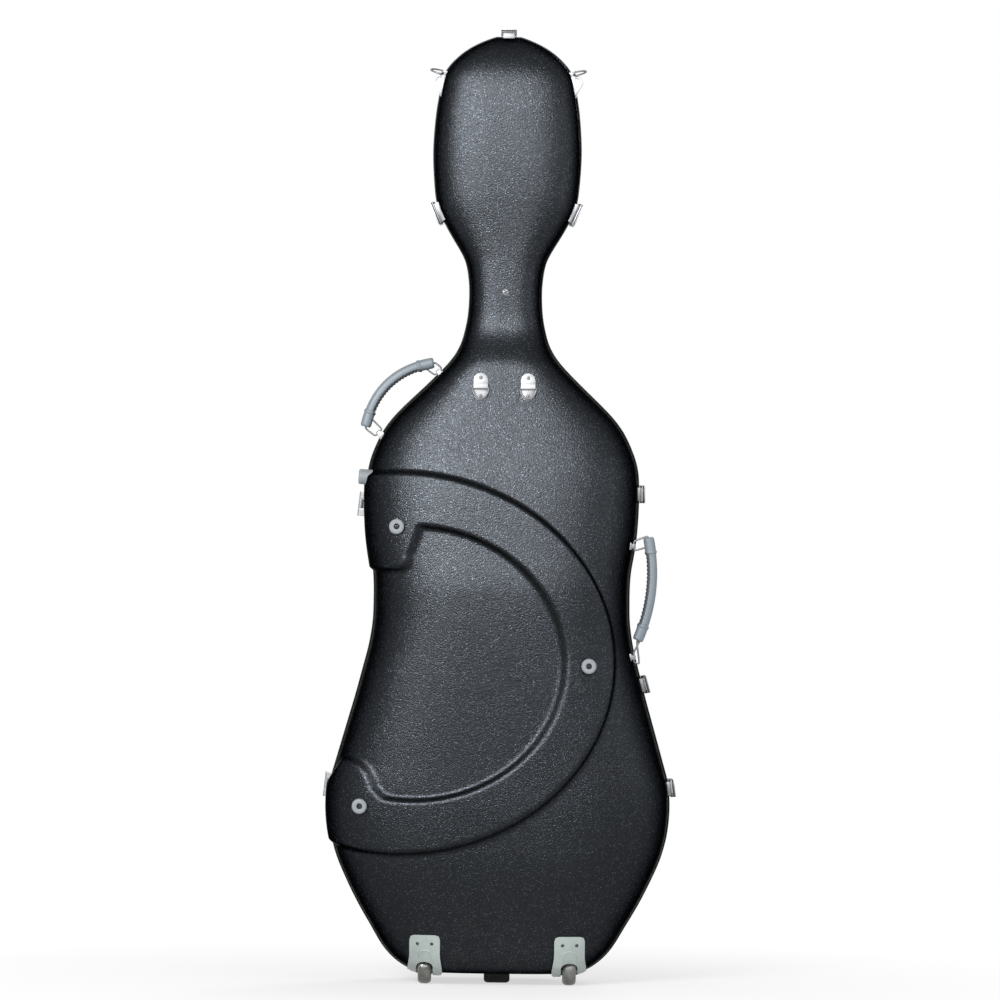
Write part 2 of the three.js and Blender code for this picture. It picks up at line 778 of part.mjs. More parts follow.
function topFrame() {
  const frame = new THREE.Group();
  frame.position.set(0, 0, SHELL_TOP + TOP_LATCH_LIFT);
  frame.rotation.y = -Math.PI / 2;
  parts.add(frame);
  return frame;
}

// Frame on the back: Y points into the case, Z up along the surface
function backFrame(x, height, lift) {
  const frame = new THREE.Group();
  const depthAt = (h) => surfaceDepth(x, h, "back");
  const step = STRAP_BAND_TALL;
  const slope = (depthAt(height + step) - depthAt(height - step)) / (2 * step);
  frame.position.set(x, -depthAt(height) - lift, height);
  frame.rotation.x = Math.atan(slope);
  parts.add(frame);
  return frame;
}

// Wheels in moulded housings that wrap the lower back edge
const wellTop = 2 * WHEEL_RADIUS + WELL_ROOM;
const wellInner = WHEEL_Y + WHEEL_RADIUS + WELL_ROOM;

function pocket(x, room) {
  const wall = WELL_WALL + room;
  const half = WELL_HALF + wall;
  return block(x - half, x + half, deepY, wellInner + wall, -OVERRUN, wellTop + wall);
}

function housingOutline(x) {
  const waist = mix(HOUSING_FLOOR, HOUSING_TOP, 1 / 3);
  const corners = [
    [x - HOUSING_FLOOR_HALF, HOUSING_FLOOR],
    [x + HOUSING_FLOOR_HALF, HOUSING_FLOOR],
    [x + HOUSING_FLOOR_HALF, mix(HOUSING_FLOOR, waist, 1 / 2)],
    [x + HOUSING_TOP_HALF, waist + HOUSING_CORNER],
    [x + HOUSING_TOP_HALF, HOUSING_TOP],
    [x - HOUSING_TOP_HALF, HOUSING_TOP],
    [x - HOUSING_TOP_HALF, waist + HOUSING_CORNER],
    [x - HOUSING_FLOOR_HALF, mix(HOUSING_FLOOR, waist, 1 / 2)],
  ];
  return new THREE.Shape(roundCorners(corners, HOUSING_CORNER, 2));
}

function archOutline(x) {
  const shape = new THREE.Shape();
  shape.moveTo(x - WELL_HALF, -HOUSING_FLOOR);
  shape.lineTo(x + WELL_HALF, -HOUSING_FLOOR);
  shape.lineTo(x + WELL_HALF, ARCH_TOP - ARCH_ROUND);
  shape.absellipse(x, ARCH_TOP - ARCH_ROUND, WELL_HALF, ARCH_ROUND, 0, Math.PI, false, 0);
  return shape;
}

function housingBody(x) {
  const reach = outerBack(GAP + HOUSING_THICK);
  const plate = solidOf(extrudeY(housingOutline(x), deepY, HOUSING_INNER_Y)).intersect(reach);
  const cup = pocket(x, 0).intersect(reach);
  const well = block(
    x - WELL_HALF, x + WELL_HALF, deepY, wellInner, HOUSING_FLOOR / 2, wellTop,
  ).intersect(outerBack(GAP + HOUSING_THICK / 3));
  const arch = solidOf(extrudeY(archOutline(x), deepY, wellInner));
  const belowFloor = block(x - OVERRUN, x + OVERRUN, deepY, 0, -OVERRUN * 2, HOUSING_FLOOR);
  const axle = rod(
    [x - WELL_HALF - WELL_WALL / 2, WHEEL_Y, WHEEL_RADIUS],
    [x + WELL_HALF + WELL_WALL / 2, WHEEL_Y, WHEEL_RADIUS],
    AXLE_RADIUS,
    10,
  );
  return plate
    .subtract(outerBack(GAP))
    .add(cup)
    .subtract(well)
    .subtract(arch)
    .subtract(belowFloor)
    .add(axle);
}

function wheelBody() {
  const half = WHEEL_WIDTH / 2;
  const side = [
    [WHEEL_BORE, -half],
    ...wheelSideShares.map(([out, across]) => [WHEEL_RADIUS * out, -half * across]),
  ];
  const profile = [...side, [WHEEL_RADIUS, 0], ...side.map(([r, w]) => [r, -w]).reverse(), side[0]];
  const turned = new THREE.LatheGeometry(profile.map(([r, w]) => new THREE.Vector2(r, w)), 13);
  return solidOf(turned.rotateZ(Math.PI / 2));
}

// Shells, rims and linings
const wheelSides = { left: -WHEEL_X, right: WHEEL_X };
const pockets = (room) => join(pocket(-WHEEL_X, room), pocket(WHEEL_X, room));

const backHollow = innerBody(WALL, -1).add(reliefBody(-WALL, innerLevels, INNER_STEPS, INNER_STEPS / 2));
const backShell = outerBack(0)
  .subtract(backHollow)
  .subtract(beyondSeam(1, -SHELL_EDGE))
  .subtract(pockets(GAP));
add(parts, "back_shell", backShell, black);

const lidShell = outerLid(0)
  .subtract(innerBody(WALL, 1))
  .subtract(beyondSeam(-1, -SHELL_EDGE - GAP));
add(parts, "front_shell", lidShell, black);
add(parts, "back_rim", rimBody(backRimSection), black);
add(parts, "front_rim", rimBody(lidRimSection), black);

const liningInner = WALL + 2 * GAP + LINING;
function liningBody(side) {
  return innerBody(WALL + 2 * GAP, side)
    .subtract(innerBody(liningInner, side, roomLevels))
    .subtract(beyondSeam(-side, -LINING_EDGE));
}
add(parts, "back_lining", liningBody(-1).subtract(pockets(2 * GAP)), velour);

const clipPadY = surfaceDepth(CLIP_X, CLIP_HEIGHT, "lid") - liningInner - CLIP_PAD_RISE;
const clipPads = [-CLIP_X, CLIP_X].map((x) => {
  const root = clipPadY + CLIP_PAD_RISE + LINING / 2;
  return rod([x, clipPadY, CLIP_HEIGHT], [x, root, CLIP_HEIGHT], CLIP_PAD_RADIUS, 12);
});
add(parts, "front_lining", join(liningBody(1), ...clipPads), velour);

for (const [name, x] of Object.entries(wheelSides)) {
  add(parts, `wheel_housing_${name}`, housingBody(x), paleGrey);
  add(parts, `wheel_${name}`, wheelBody(), smoky).position.set(x, WHEEL_Y, WHEEL_RADIUS);
}

// Rubber blocks that the case stands on, tapering towards the floor
function restFoot(y) {
  const ring = (height, inset) =>
    roundCorners(
      [
        [-REST_FOOT_HALF + inset, y - REST_FOOT_DEEP / 2 + inset],
        [REST_FOOT_HALF - inset, y - REST_FOOT_DEEP / 2 + inset],
        [REST_FOOT_HALF - inset, y + REST_FOOT_DEEP / 2 - inset],
        [-REST_FOOT_HALF + inset, y + REST_FOOT_DEEP / 2 - inset],
      ],
      REST_FOOT_CORNER,
      2,
    ).map((p) => new THREE.Vector3(p.x, p.y, height));
  return loft([ring(0, REST_FOOT_TAPER), ring(REST_FOOT_TAPER, 0), ring(REST_FOOT_TALL, 0)]);
}
add(parts, "base_foot", restFoot(BASE_FOOT_Y).subtract(caseRoom), rubberBlack);
add(parts, "lid_foot", restFoot(LID_FOOT_Y).subtract(caseRoom), rubberBlack);

// Round rubber feet with a sunk screw hole, pointing along -Y of their frame
function roundFoot() {
  const profile = [
    [0, -FOOT_RISE],
    [FOOT_RADIUS, -FOOT_RISE],
    [FOOT_RADIUS, FOOT_RISE - FOOT_SIDE_ROUND],
    [FOOT_FACE_RADIUS + FOOT_ROUND / 3, FOOT_RISE - FOOT_ROUND / 3],
    [FOOT_FACE_RADIUS - FOOT_ROUND / 3, FOOT_RISE],
    [FOOT_HOLE_RADIUS, FOOT_RISE],
    [FOOT_HOLE_RADIUS, FOOT_RISE - FOOT_HOLE_DEEP],
    [0, FOOT_RISE - FOOT_HOLE_DEEP],
  ];
  return new THREE.LatheGeometry(profile.map(([r, h]) => new THREE.Vector2(r, h)), 12);
}

const backFeet = { upper: UPPER_FOOT, middle: MIDDLE_FOOT, lower: LOWER_FOOT };
for (const [name, [x, height]] of Object.entries(backFeet)) {
  const frame = backFrame(x, height, RELIEF_RISE);
  const foot = solidOf(roundFoot().rotateX(Math.PI));
  add(frame, `back_foot_${name}`, seated(foot, frame), rubberGrey);
}
const sideFrame = outlineFrame(SIDE_FOOT_HEIGHT, -1);
const sideFoot = solidOf(roundFoot().rotateZ(-Math.PI / 2).translate(RELIEF_WRAP / 4, SIDE_FOOT_Y, 0));
add(sideFrame, "side_foot", seated(sideFoot, sideFrame), rubberGrey);

// Latches: a base with a pin and a channel lever on the lid, and a keeper on the back shell
function latchRod(reach, radius) {
  const [out, y] = [LATCH_PIN_OUT, LATCH_PIN_Y];
  return rod([out, y, -reach], [out, y, reach], radius, 6);
}

function latchBase(width) {
  const earRadius = LATCH_PLATE_OUT - LATCH_SHEET - LATCH_PIN_OUT - GAP;
  const inner = width / 2 - LATCH_SHEET - LATCH_SIDE_ROOM / 2;
  const foot = RIM_PROUD + GAP + LATCH_SHEET;
  const plate = block(-SHELL_EDGE, foot, LATCH_BASE_START, LATCH_BASE_END, -inner, inner);
  const ear = new THREE.Shape();
  ear.moveTo(foot - LATCH_SHEET, LATCH_PIN_Y - earRadius);
  ear.lineTo(LATCH_PIN_OUT, LATCH_PIN_Y - earRadius);
  ear.absarc(LATCH_PIN_OUT, LATCH_PIN_Y, earRadius, -Math.PI / 2, Math.PI / 2, false);
  ear.lineTo(foot - LATCH_SHEET, LATCH_PIN_Y + earRadius);
  const ears = [-inner, inner - LATCH_SHEET].map((z) => solidOf(extrudeZ(ear, z, z + LATCH_SHEET)));
  const reach = width / 2 - GAP;
  return join(plate, ...ears, latchRod(reach, LATCH_PIN_RADIUS));
}

function latchLever(width) {
  const half = width / 2;
  const under = LATCH_PLATE_OUT - LATCH_SHEET;
  const top = shapeOf([
    [under, LATCH_PIN_Y],
    [LATCH_PLATE_OUT, LATCH_PIN_Y],
    [LATCH_PLATE_OUT, LATCH_TIP_Y],
    [LATCH_FINGER_OUT, LATCH_TIP_Y - LATCH_FINGER],
    [LATCH_FINGER_OUT - LATCH_SHEET, LATCH_TIP_Y - LATCH_FINGER],
    [under, LATCH_TIP_Y - LATCH_SHEET],
  ]);
  const knuckle = LATCH_PLATE_OUT - LATCH_PIN_OUT;
  const flange = new THREE.Shape();
  flange.moveTo(LATCH_PLATE_OUT, LATCH_PIN_Y);
  flange.absarc(LATCH_PIN_OUT, LATCH_PIN_Y, knuckle, 0, Math.PI, false);
  flange.lineTo(LATCH_FLANGE_OUT, LATCH_PIN_Y - 2 * knuckle);
  flange.lineTo(LATCH_FLANGE_OUT, LATCH_TIP_Y + LATCH_FINGER);
  flange.lineTo(under, LATCH_TIP_Y);
  flange.lineTo(LATCH_PLATE_OUT, LATCH_TIP_Y);
  const sides = [-half, half - LATCH_SHEET].map((z) => solidOf(extrudeZ(flange, z, z + LATCH_SHEET)));
  const reach = half - LATCH_HOOK_INSET;
  const tip = LATCH_TIP_Y;
  const hook = block(under - LATCH_SHEET, under + GAP, tip, tip + LATCH_SHEET, -reach, reach);
  const cover = solidOf(extrudeZ(top, -half, half));
  return join(cover, ...sides, hook).subtract(latchRod(width, LATCH_PIN_BORE));
}

function latchKeeper(width) {
  const half = width / 2 - LATCH_SHEET - LATCH_SIDE_ROOM;
  const foot = RIM_PROUD + GAP + LATCH_SHEET;
  const plate = block(-SHELL_EDGE, foot, -KEEPER_END, -KEEPER_START, -half, half);
  const lip = shapeOf([
    [foot - GAP, KEEPER_LIP_Y + KEEPER_LIP_THICK],
    [KEEPER_LIP_OUT, KEEPER_LIP_Y + KEEPER_LIP_THICK / 2],
    [KEEPER_LIP_OUT, KEEPER_LIP_Y - KEEPER_LIP_THICK / 2],
    [foot - GAP, KEEPER_LIP_Y - KEEPER_LIP_THICK / 2],
  ]);
  return plate.add(solidOf(extrudeZ(lip, -half, half)));
}

const latches = {
  top: { frame: topFrame(), width: TOP_LATCH_WIDTH },
  head_left: { frame: outlineFrame(HEAD_LATCH_HEIGHT, -1), width: HEAD_LATCH_WIDTH },
  head_right: { frame: outlineFrame(HEAD_LATCH_HEIGHT, 1), width: HEAD_LATCH_WIDTH },
  upper: { frame: outlineFrame(UPPER_LATCH_HEIGHT, 1), width: LATCH_WIDTH },
  waist: { frame: outlineFrame(WAIST_LATCH_HEIGHT, 1), width: LATCH_WIDTH },
  lower: { frame: outlineFrame(LOWER_LATCH_HEIGHT, 1), width: LATCH_WIDTH },
};
for (const [name, { frame, width }] of Object.entries(latches)) {
  add(frame, `latch_base_${name}`, seated(latchBase(width), frame), steel);
  add(frame, `latch_lever_${name}`, latchLever(width), steel);
  add(frame, `latch_keeper_${name}`, seated(latchKeeper(width), frame), steel);
}

// Lid hinges on the line that touches the left of both bouts
function touchingLine() {
  const under = ([low, high]) =>
    levels.every((level) => {
      const share = (level.height - low.height) / (high.height - low.height);
      return level.half < mix(low.half, high.half, share) + MERGE_DISTANCE;
    });
  const lows = levels.filter((level) => level.height < WAIST_HEIGHT);
  const highs = levels.filter((level) => level.height > WAIST_HEIGHT);
  return lows.flatMap((low) => highs.map((high) => [low, high])).find(under);
}
const [hingeLow, hingeHigh] = touchingLine();
const hingeSlope = (hingeHigh.half - hingeLow.half) / (hingeHigh.height - hingeLow.height);

function hingeFrame(height) {
  const frame = new THREE.Group();
  const half = hingeLow.half + hingeSlope * (height - hingeLow.height);
  const out = HINGE_OFFSET * Math.hypot(1, hingeSlope);
  frame.position.set(-half - out, 0, height);
  frame.rotation.y = Math.PI - Math.atan(hingeSlope);
  parts.add(frame);
  return frame;
}

function hingeLeaf(side, frame) {
  const half = HINGE_LENGTH / 2;
  const [near, far] = [Math.min(0, side * HINGE_LEAF), Math.max(0, side * HINGE_LEAF)];
  const plate = asSheet(block(-OVERRUN / 2, 0, near, far, -half, half), frame);
  const knuckle = (from, to, radius) => rod([0, 0, from], [0, 0, to], radius, 10);
  const middle = HINGE_MIDDLE / 2;
  const clear = HINGE_KNUCKLE_RADIUS + HINGE_ROOM;
  const curl = (from, to) => {
    const [flat, round] = [side * HINGE_ROOM, side * HINGE_KNUCKLE_RADIUS];
    const [lower, upper] = [Math.min(flat, round), Math.max(flat, round)];
    const web = block(-2 * HINGE_OFFSET, 0, lower, upper, from, to);
    return web.add(knuckle(from, to, HINGE_KNUCKLE_RADIUS));
  };
  if (side > 0) {
    return plate
      .subtract(knuckle(-half * 2, -middle, clear))
      .subtract(knuckle(middle, half * 2, clear))
      .add(curl(-middle, middle))
      .subtract(knuckle(-half * 2, half * 2, HINGE_PIN_BORE));
  }
  return plate
    .subtract(knuckle(-middle - HINGE_ROOM, middle + HINGE_ROOM, clear))
    .add(curl(middle + HINGE_ROOM, half))
    .add(curl(-half, -middle - HINGE_ROOM))
    .add(knuckle(-half, half, HINGE_PIN_RADIUS));
}

const hinges = { lower: hingeLow.height - HINGE_LOW_DROP, upper: hingeHigh.height - HINGE_HIGH_DROP };
for (const [name, height] of Object.entries(hinges)) {
  const frame = hingeFrame(height);
  add(frame, `hinge_back_leaf_${name}`, seated(hingeLeaf(-1, frame), frame), steel);
  add(frame, `hinge_lid_leaf_${name}`, seated(hingeLeaf(1, frame), frame), steel);
}

// Carrying handles: a bowed grip, a wire loop through each end and an eye on the shell for each
function bowedGrip(line, depth) {
  const ringAt = (share, swell) => {
    const at = line.getPoint(share);
    const way = line.getTangent(share);
    return Array.from({ length: GRIP_SIDES }, (_, j) => {
      const angle = (j * 2 * Math.PI) / GRIP_SIDES;
      const a = (GRIP_THICK / 2 + swell) * Math.cos(angle);
      const b = (GRIP_WIDE / 2 + swell) * Math.sin(angle);
      return new THREE.Vector3(at.x + way.y * a, depth + b, at.y - way.x * a);
    });
  };
  const edge = COLLAR_EDGE_SHARE;
  const ending = [
    [0, -COLLAR_SWELL * 2],
    [edge, 0],
    [COLLAR_SHARE - edge, 0],
    [COLLAR_SHARE, COLLAR_SWELL],
    [COLLAR_SHARE + edge, 0],
  ];
  const middleShares = [1 / 5, 2 / 5, 3 / 5, 4 / 5];
  const places = [
    ...ending,
    ...middleShares.map((share) => [mix(COLLAR_SHARE, 1 - COLLAR_SHARE, share), 0]),
    ...ending.map(([share, swell]) => [1 - share, swell]).reverse(),
  ];
  return loft(places.map(([share, swell]) => ringAt(share, swell)));
}

// Corners of the wire loop at one end of a grip, from the bar inside the grip round through its eye
function loopCorners(line, end, eye, swingWay, knees) {
  const outward = end === 0 ? -1 : 1;
  const inside = line.getPoint(end - (outward * GRIP_BAR) / line.getLength());
  const way = line.getTangent(end);
  const beyond = line.getPoint(end).addScaledVector(way, outward * LOOP_OVERHANG);
  const square = new THREE.Vector2(way.y, -way.x);
  const inward = Math.sign(square.dot(eye.clone().sub(inside)));
  const barEnd = inside.clone().addScaledVector(square, inward * GRIP_BAR_WIDE);
  const apart = swingWay.clone().multiplyScalar((outward * EYE_SPAN) / 2);
  const corners = [inside, beyond, ...knees, eye.clone().add(apart), eye.clone().sub(apart), barEnd];
  return corners.map((p) => [p.x, p.y]);
}

function eyeBody() {
  const half = EYE_LENGTH / 2;
  const radius = WIRE_RADIUS + EYE_WALL;
  const stem = block(-EYE_ROOT, 0, -radius, radius, -half, half);
  const reach = EYE_FLANGE_LENGTH / 2;
  const flange = block(-EYE_ROOT, -radius - GAP, -2 * radius, 2 * radius, -reach, reach);
  const barrel = rod([0, 0, -half], [0, 0, half], radius, 8);
  const bore = rod([0, 0, -EYE_SPAN], [0, 0, EYE_SPAN], WIRE_RADIUS + GAP, 8);
  return join(stem, flange, barrel).subtract(bore);
}

function handle(name, side, foot, depth, eyePlaces, gripEnds, bow, kneePlaces) {
  const placed = ([out, up]) => {
    const height = foot + up;
    return new THREE.Vector2(side * (levelAt(height).half + out), height);
  };
  const [low, high] = gripEnds.map(placed);
  const chord = high.clone().sub(low);
  const out = new THREE.Vector2(chord.y, -chord.x).normalize().multiplyScalar(side);
  const middle = low.clone().add(high).divideScalar(2).addScaledVector(out, 2 * bow);
  const line = new THREE.QuadraticBezierCurve(low, middle, high);
  const eyes = eyePlaces.map(placed);
  const swingWay = eyes[1].clone().sub(eyes[0]).normalize();
  const inPlane = (a, b, y) => new THREE.Vector3(a, depth + y, b);
  const wires = (radius) =>
    eyes.map((eye, end) => {
      const knees = end === 0 ? kneePlaces.map(placed) : [];
      const corners = loopCorners(line, end, eye, swingWay, knees);
      return wireLoop(roundCorners(corners, LOOP_CORNER, 2), radius, 6, inPlane);
    });
  const [lowRoom, highRoom] = wires(WIRE_RADIUS + WIRE_ROOM);
  const grip = bowedGrip(line, depth).subtract(lowRoom).subtract(highRoom);
  add(parts, `grip_${name}`, grip, greyGrip);
  const ends = ["lower", "upper"];
  wires(WIRE_RADIUS).forEach((wire, i) => add(parts, `grip_loop_${name}_${ends[i]}`, wire, steel));
  eyes.forEach((eye, i) => {
    const frame = new THREE.Group();
    frame.position.set(eye.x, depth, eye.y);
    frame.rotation.y = Math.atan2(swingWay.x * side, swingWay.y * side);
    parts.add(frame);
    add(frame, `handle_eye_${name}_${ends[i]}`, seated(eyeBody(), frame), steel);
  });
}
const leftFoot = RELIEF_HEIGHT + RELIEF_OUTER_TALL + LEFT_HANDLE_RISE;
const rightFoot = WAIST_HEIGHT - RIGHT_HANDLE_DROP;
handle("left", -1, leftFoot, LEFT_HANDLE_Y, LEFT_EYES, LEFT_GRIP_ENDS, LEFT_GRIP_BOW, []);
handle("right", 1, rightFoot, RIGHT_HANDLE_Y, RIGHT_EYES, RIGHT_GRIP_ENDS, RIGHT_GRIP_BOW, [RIGHT_KNEE]);

// Strap plates with a raised band and the D-rings that hang in it
const strapRingLift = STRAP_PLATE_THICK + STRAP_WIRE_RADIUS + 3 * GAP;

function strapPlate() {
  const half = STRAP_PLATE_HALF;
  const tall = STRAP_PLATE_TALL / 2;
  const outline = new THREE.Shape();
  outline.absarc(0, tall - half, half, 0, Math.PI, false);
  outline.absarc(0, half - tall, half, Math.PI, 2 * Math.PI, false);
  const plate = solidOf(extrudeY(outline, -STRAP_PLATE_THICK - GAP, OVERRUN / 4));
  const room = STRAP_WIRE_RADIUS + GAP;
  const outer = room + STRAP_PLATE_THICK;
  const bandHalf = STRAP_BAND_TALL / 2;
  const band = block(-half, half, -strapRingLift - outer, 0, -bandHalf, bandHalf);
  const tunnel = rod([-half * 2, -strapRingLift, 0], [half * 2, -strapRingLift, 0], room, 10);
  return join(plate, band).subtract(tunnel);
}

function strapRing() {
  const half = STRAP_RING_WIDTH / 2 - STRAP_WIRE_RADIUS;
  const drop = STRAP_RING_DROP - STRAP_WIRE_RADIUS;
  const arc = ellipsePoints(0, 0, half, drop, Math.PI, 2 * Math.PI, 9);
  return wireLoop(arc, STRAP_WIRE_RADIUS, 6, (a, b, y) => new THREE.Vector3(a, y, b));
}

for (const [name, x] of Object.entries({ left: -STRAP_X, right: STRAP_X })) {
  const frame = backFrame(x, STRAP_HEIGHT, 0);
  add(frame, `strap_plate_${name}`, seated(strapPlate(), frame), steel);
  add(frame, `strap_ring_${name}`, strapRing(), steel).position.y = -strapRingLift;
}

// Bent brackets at the head, each with a barrel in which a D-ring hangs
function headBracket(side) {
  const cut = (corners, reach) => {
    const turned = corners.map(([out, up]) => [out, side * up]);
    const shape = new THREE.Shape(roundCorners(turned, HEAD_RING_WIRE, 1));
    return solidOf(extrudeY(shape, HEAD_BRACKET_Y - reach, HEAD_BRACKET_Y + reach));
  };
  const half = HEAD_BRACKET_WIDE / 2;
  const strip = cut(HEAD_BRACKET_OUTLINE, half).subtract(cut(HEAD_BRACKET_WINDOW, 2 * half));
  const along = (reach, radius, sides) => {
    const [y, z] = [reach * Math.cos(HEAD_RING_TILT), side * reach * Math.sin(HEAD_RING_TILT)];
    const middle = side * HEAD_RING_UP;
    return rod(
      [HEAD_RING_OUT, HEAD_BRACKET_Y - y, middle - z],
      [HEAD_RING_OUT, HEAD_BRACKET_Y + y, middle + z],
      radius,
      sides,
    );
  };
  const barrel = side * HEAD_RING_UP;
  const [near, far] = [HEAD_BRACKET_Y - half, HEAD_BRACKET_Y + half];
  const [under, over] = [barrel - HEAD_RING_BARREL, barrel + HEAD_RING_BARREL];
  const stem = block(-HEAD_BRACKET_WIDE, HEAD_RING_OUT, near, far, under, over);
  const bore = along(HEAD_RING_WIDTH, HEAD_RING_BORE, 8);
  return join(strip, stem, along(half, HEAD_RING_BARREL, 8)).subtract(bore);
}

function headRing() {
  const half = HEAD_RING_WIDTH / 2 - HEAD_RING_WIRE;
  const reach = HEAD_RING_REACH - HEAD_RING_WIRE;
  const arc = ellipsePoints(0, 0, reach, half, -Math.PI / 2, Math.PI / 2, 9);
  return wireLoop(arc, HEAD_RING_WIRE, 6, (a, b, z) => new THREE.Vector3(a, b, z));
}

for (const [name, side] of Object.entries({ left: -1, right: 1 })) {
  const frame = outlineFrame(HEAD_BRACKET_HEIGHT, side);
  add(frame, `head_bracket_${name}`, seated(headBracket(side), frame), steel);
  const ring = add(frame, `head_ring_${name}`, headRing(), steel);
  ring.position.set(HEAD_RING_OUT, HEAD_BRACKET_Y, side * HEAD_RING_UP);
  ring.rotation.set(side * HEAD_RING_TILT, 0, 0);
  ring.rotateY(-side * HEAD_RING_RISE);
}

// Padded cradle for the neck, with a web strap over it
function cradleBody() {
  const low = -BACK_NECK_DEPTH;
  const ring = (height, share) => {
    const crown = CRADLE_CROWN * share;
    const half = CRADLE_HALF - CRADLE_CROWN + crown;
    const top = CRADLE_TOP_Y - CRADLE_CROWN + crown;
    const groove = CRADLE_GROOVE + CRADLE_CROWN / 2 - crown / 2;
    const rightShoulder = new THREE.QuadraticBezierCurve(
      new THREE.Vector2(half, top - half / 4),
      new THREE.Vector2(half, top),
      new THREE.Vector2(mix(groove, half, 1 / 2), top),
    ).getPoints(3);
    const grooveArc = ellipsePoints(0, top, groove, groove, 0, -Math.PI, 8);
    const leftShoulder = rightShoulder.map((p) => new THREE.Vector2(-p.x, p.y)).reverse();
    return [
      new THREE.Vector2(half, low),
      ...rightShoulder,
      ...grooveArc,
      ...leftShoulder,
      new THREE.Vector2(-half, low),
    ].map((p) => new THREE.Vector3(p.x, p.y, height));
  };
  const shares = [0, 0.12, 0.5, 0.88, 1];
  const rings = shares.map((share) =>
    ring(CRADLE_HEIGHT + (share - 1 / 2) * CRADLE_TALL, Math.sin(Math.PI * share) ** (1 / 2)),
  );
  return loft(rings).intersect(innerBody(liningInner + GAP, -1, roomLevels));
}

function strapWeb() {
  const half = CRADLE_HALF - CRADLE_CROWN * 2;
  const base = CRADLE_TOP_Y + GAP;
  const arch = (lift) =>
    new THREE.QuadraticBezierCurve(
      new THREE.Vector2(-half, base + lift),
      new THREE.Vector2(0, base + lift + 2 * STRAP_WEB_RISE),
      new THREE.Vector2(half, base + lift),
    ).getPoints(8);
  const outline = new THREE.Shape([...arch(0), ...arch(STRAP_WEB_THICK).reverse()]);
  const reach = STRAP_WEB_TALL / 2;
  return solidOf(extrudeZ(outline, CRADLE_HEIGHT - reach, CRADLE_HEIGHT + reach));
}
add(parts, "neck_cradle", cradleBody(), velour);
add(parts, "neck_strap", strapWeb(), webbing);

// Turning bow clips on the pads of the lid lining
function clipBody() {
  const half = CLIP_LENGTH / 2 - CLIP_WIDTH / 2;
  const wing = new THREE.Shape();
  wing.absarc(0, half, CLIP_WIDTH / 2, 0, Math.PI, false);
  wing.absarc(0, -half, CLIP_WIDTH / 2, Math.PI, 2 * Math.PI, false);
  const stemTop = CLIP_THICK + CLIP_STEM;
  return solidOf(extrudeY(wing, -stemTop, -CLIP_STEM)).add(
    rod([0, -CLIP_STEM - GAP, 0], [0, -GAP, 0], CLIP_STEM_RADIUS, 8),
  );
}
for (const [name, x] of Object.entries({ left: -CLIP_X, right: CLIP_X })) {
  add(parts, `bow_clip_${name}`, clipBody(), paleGrey).position.set(x, clipPadY, CLIP_HEIGHT);
}

// The case stands with the middle of its own foot on the origin
parts.position.y = -BASE_FOOT_Y;
const standing = new THREE.Group();
standing.add(parts);
export default standing;
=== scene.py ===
"""Cello hard case seen from its back: the visible pieces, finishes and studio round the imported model."""

import json
import math
from contextlib import contextmanager

import bmesh
import bpy
import numpy as np
from bpy.props import FloatProperty, FloatVectorProperty, IntProperty, PointerProperty
from mathutils import Matrix, Vector
from mathutils.bvhtree import BVHTree

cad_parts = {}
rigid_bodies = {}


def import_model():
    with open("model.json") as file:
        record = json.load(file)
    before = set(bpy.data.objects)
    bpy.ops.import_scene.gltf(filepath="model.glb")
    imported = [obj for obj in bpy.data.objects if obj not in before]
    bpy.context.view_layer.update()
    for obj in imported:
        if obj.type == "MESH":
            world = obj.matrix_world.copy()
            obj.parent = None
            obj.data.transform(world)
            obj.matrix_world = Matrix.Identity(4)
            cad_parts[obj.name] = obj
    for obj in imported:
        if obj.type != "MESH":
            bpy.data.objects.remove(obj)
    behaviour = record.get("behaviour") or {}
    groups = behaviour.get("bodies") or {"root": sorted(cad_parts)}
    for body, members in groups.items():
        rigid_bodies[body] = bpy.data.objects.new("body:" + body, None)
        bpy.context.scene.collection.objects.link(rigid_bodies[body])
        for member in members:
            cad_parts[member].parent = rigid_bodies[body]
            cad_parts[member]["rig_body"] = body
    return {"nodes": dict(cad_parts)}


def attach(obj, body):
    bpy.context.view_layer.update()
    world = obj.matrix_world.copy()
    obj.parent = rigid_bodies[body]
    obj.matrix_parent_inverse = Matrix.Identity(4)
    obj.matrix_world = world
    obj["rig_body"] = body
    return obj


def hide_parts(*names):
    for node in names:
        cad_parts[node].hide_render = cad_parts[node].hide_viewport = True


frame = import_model()

bl_info = {
    "name": "Cello Hard Case",
    "version": (1, 0, 0),
    "blender": (4, 5, 0),
    "location": "View3D > Sidebar > Cello Case",
    "description": "Builds the shells, padding, fittings and studio of a cello hard case",
    "category": "Object",
}

MM = 0.001
SEAM_Y = 21.0
LATCHES = ("top", "head_left", "head_right", "upper", "waist", "lower")
SIDES = {"left": -1, "right": 1}
ENDS = ("lower", "upper")

# Height, half width, depth of the back and depth of the lid at each station of the outline
STATIONS = (
    (16.5, 118.5, 88, 78),
    (258, 249, 128, 128),
    (572, 186, 134, 146),
    (712, 198.2, 120, 124),
    (905, 82.8, 88, 76),
    (1012, 51.2, 56, 50),
    (1218, 107.2, 64, 66),
    (1387.5, 16, 12, 12),
)
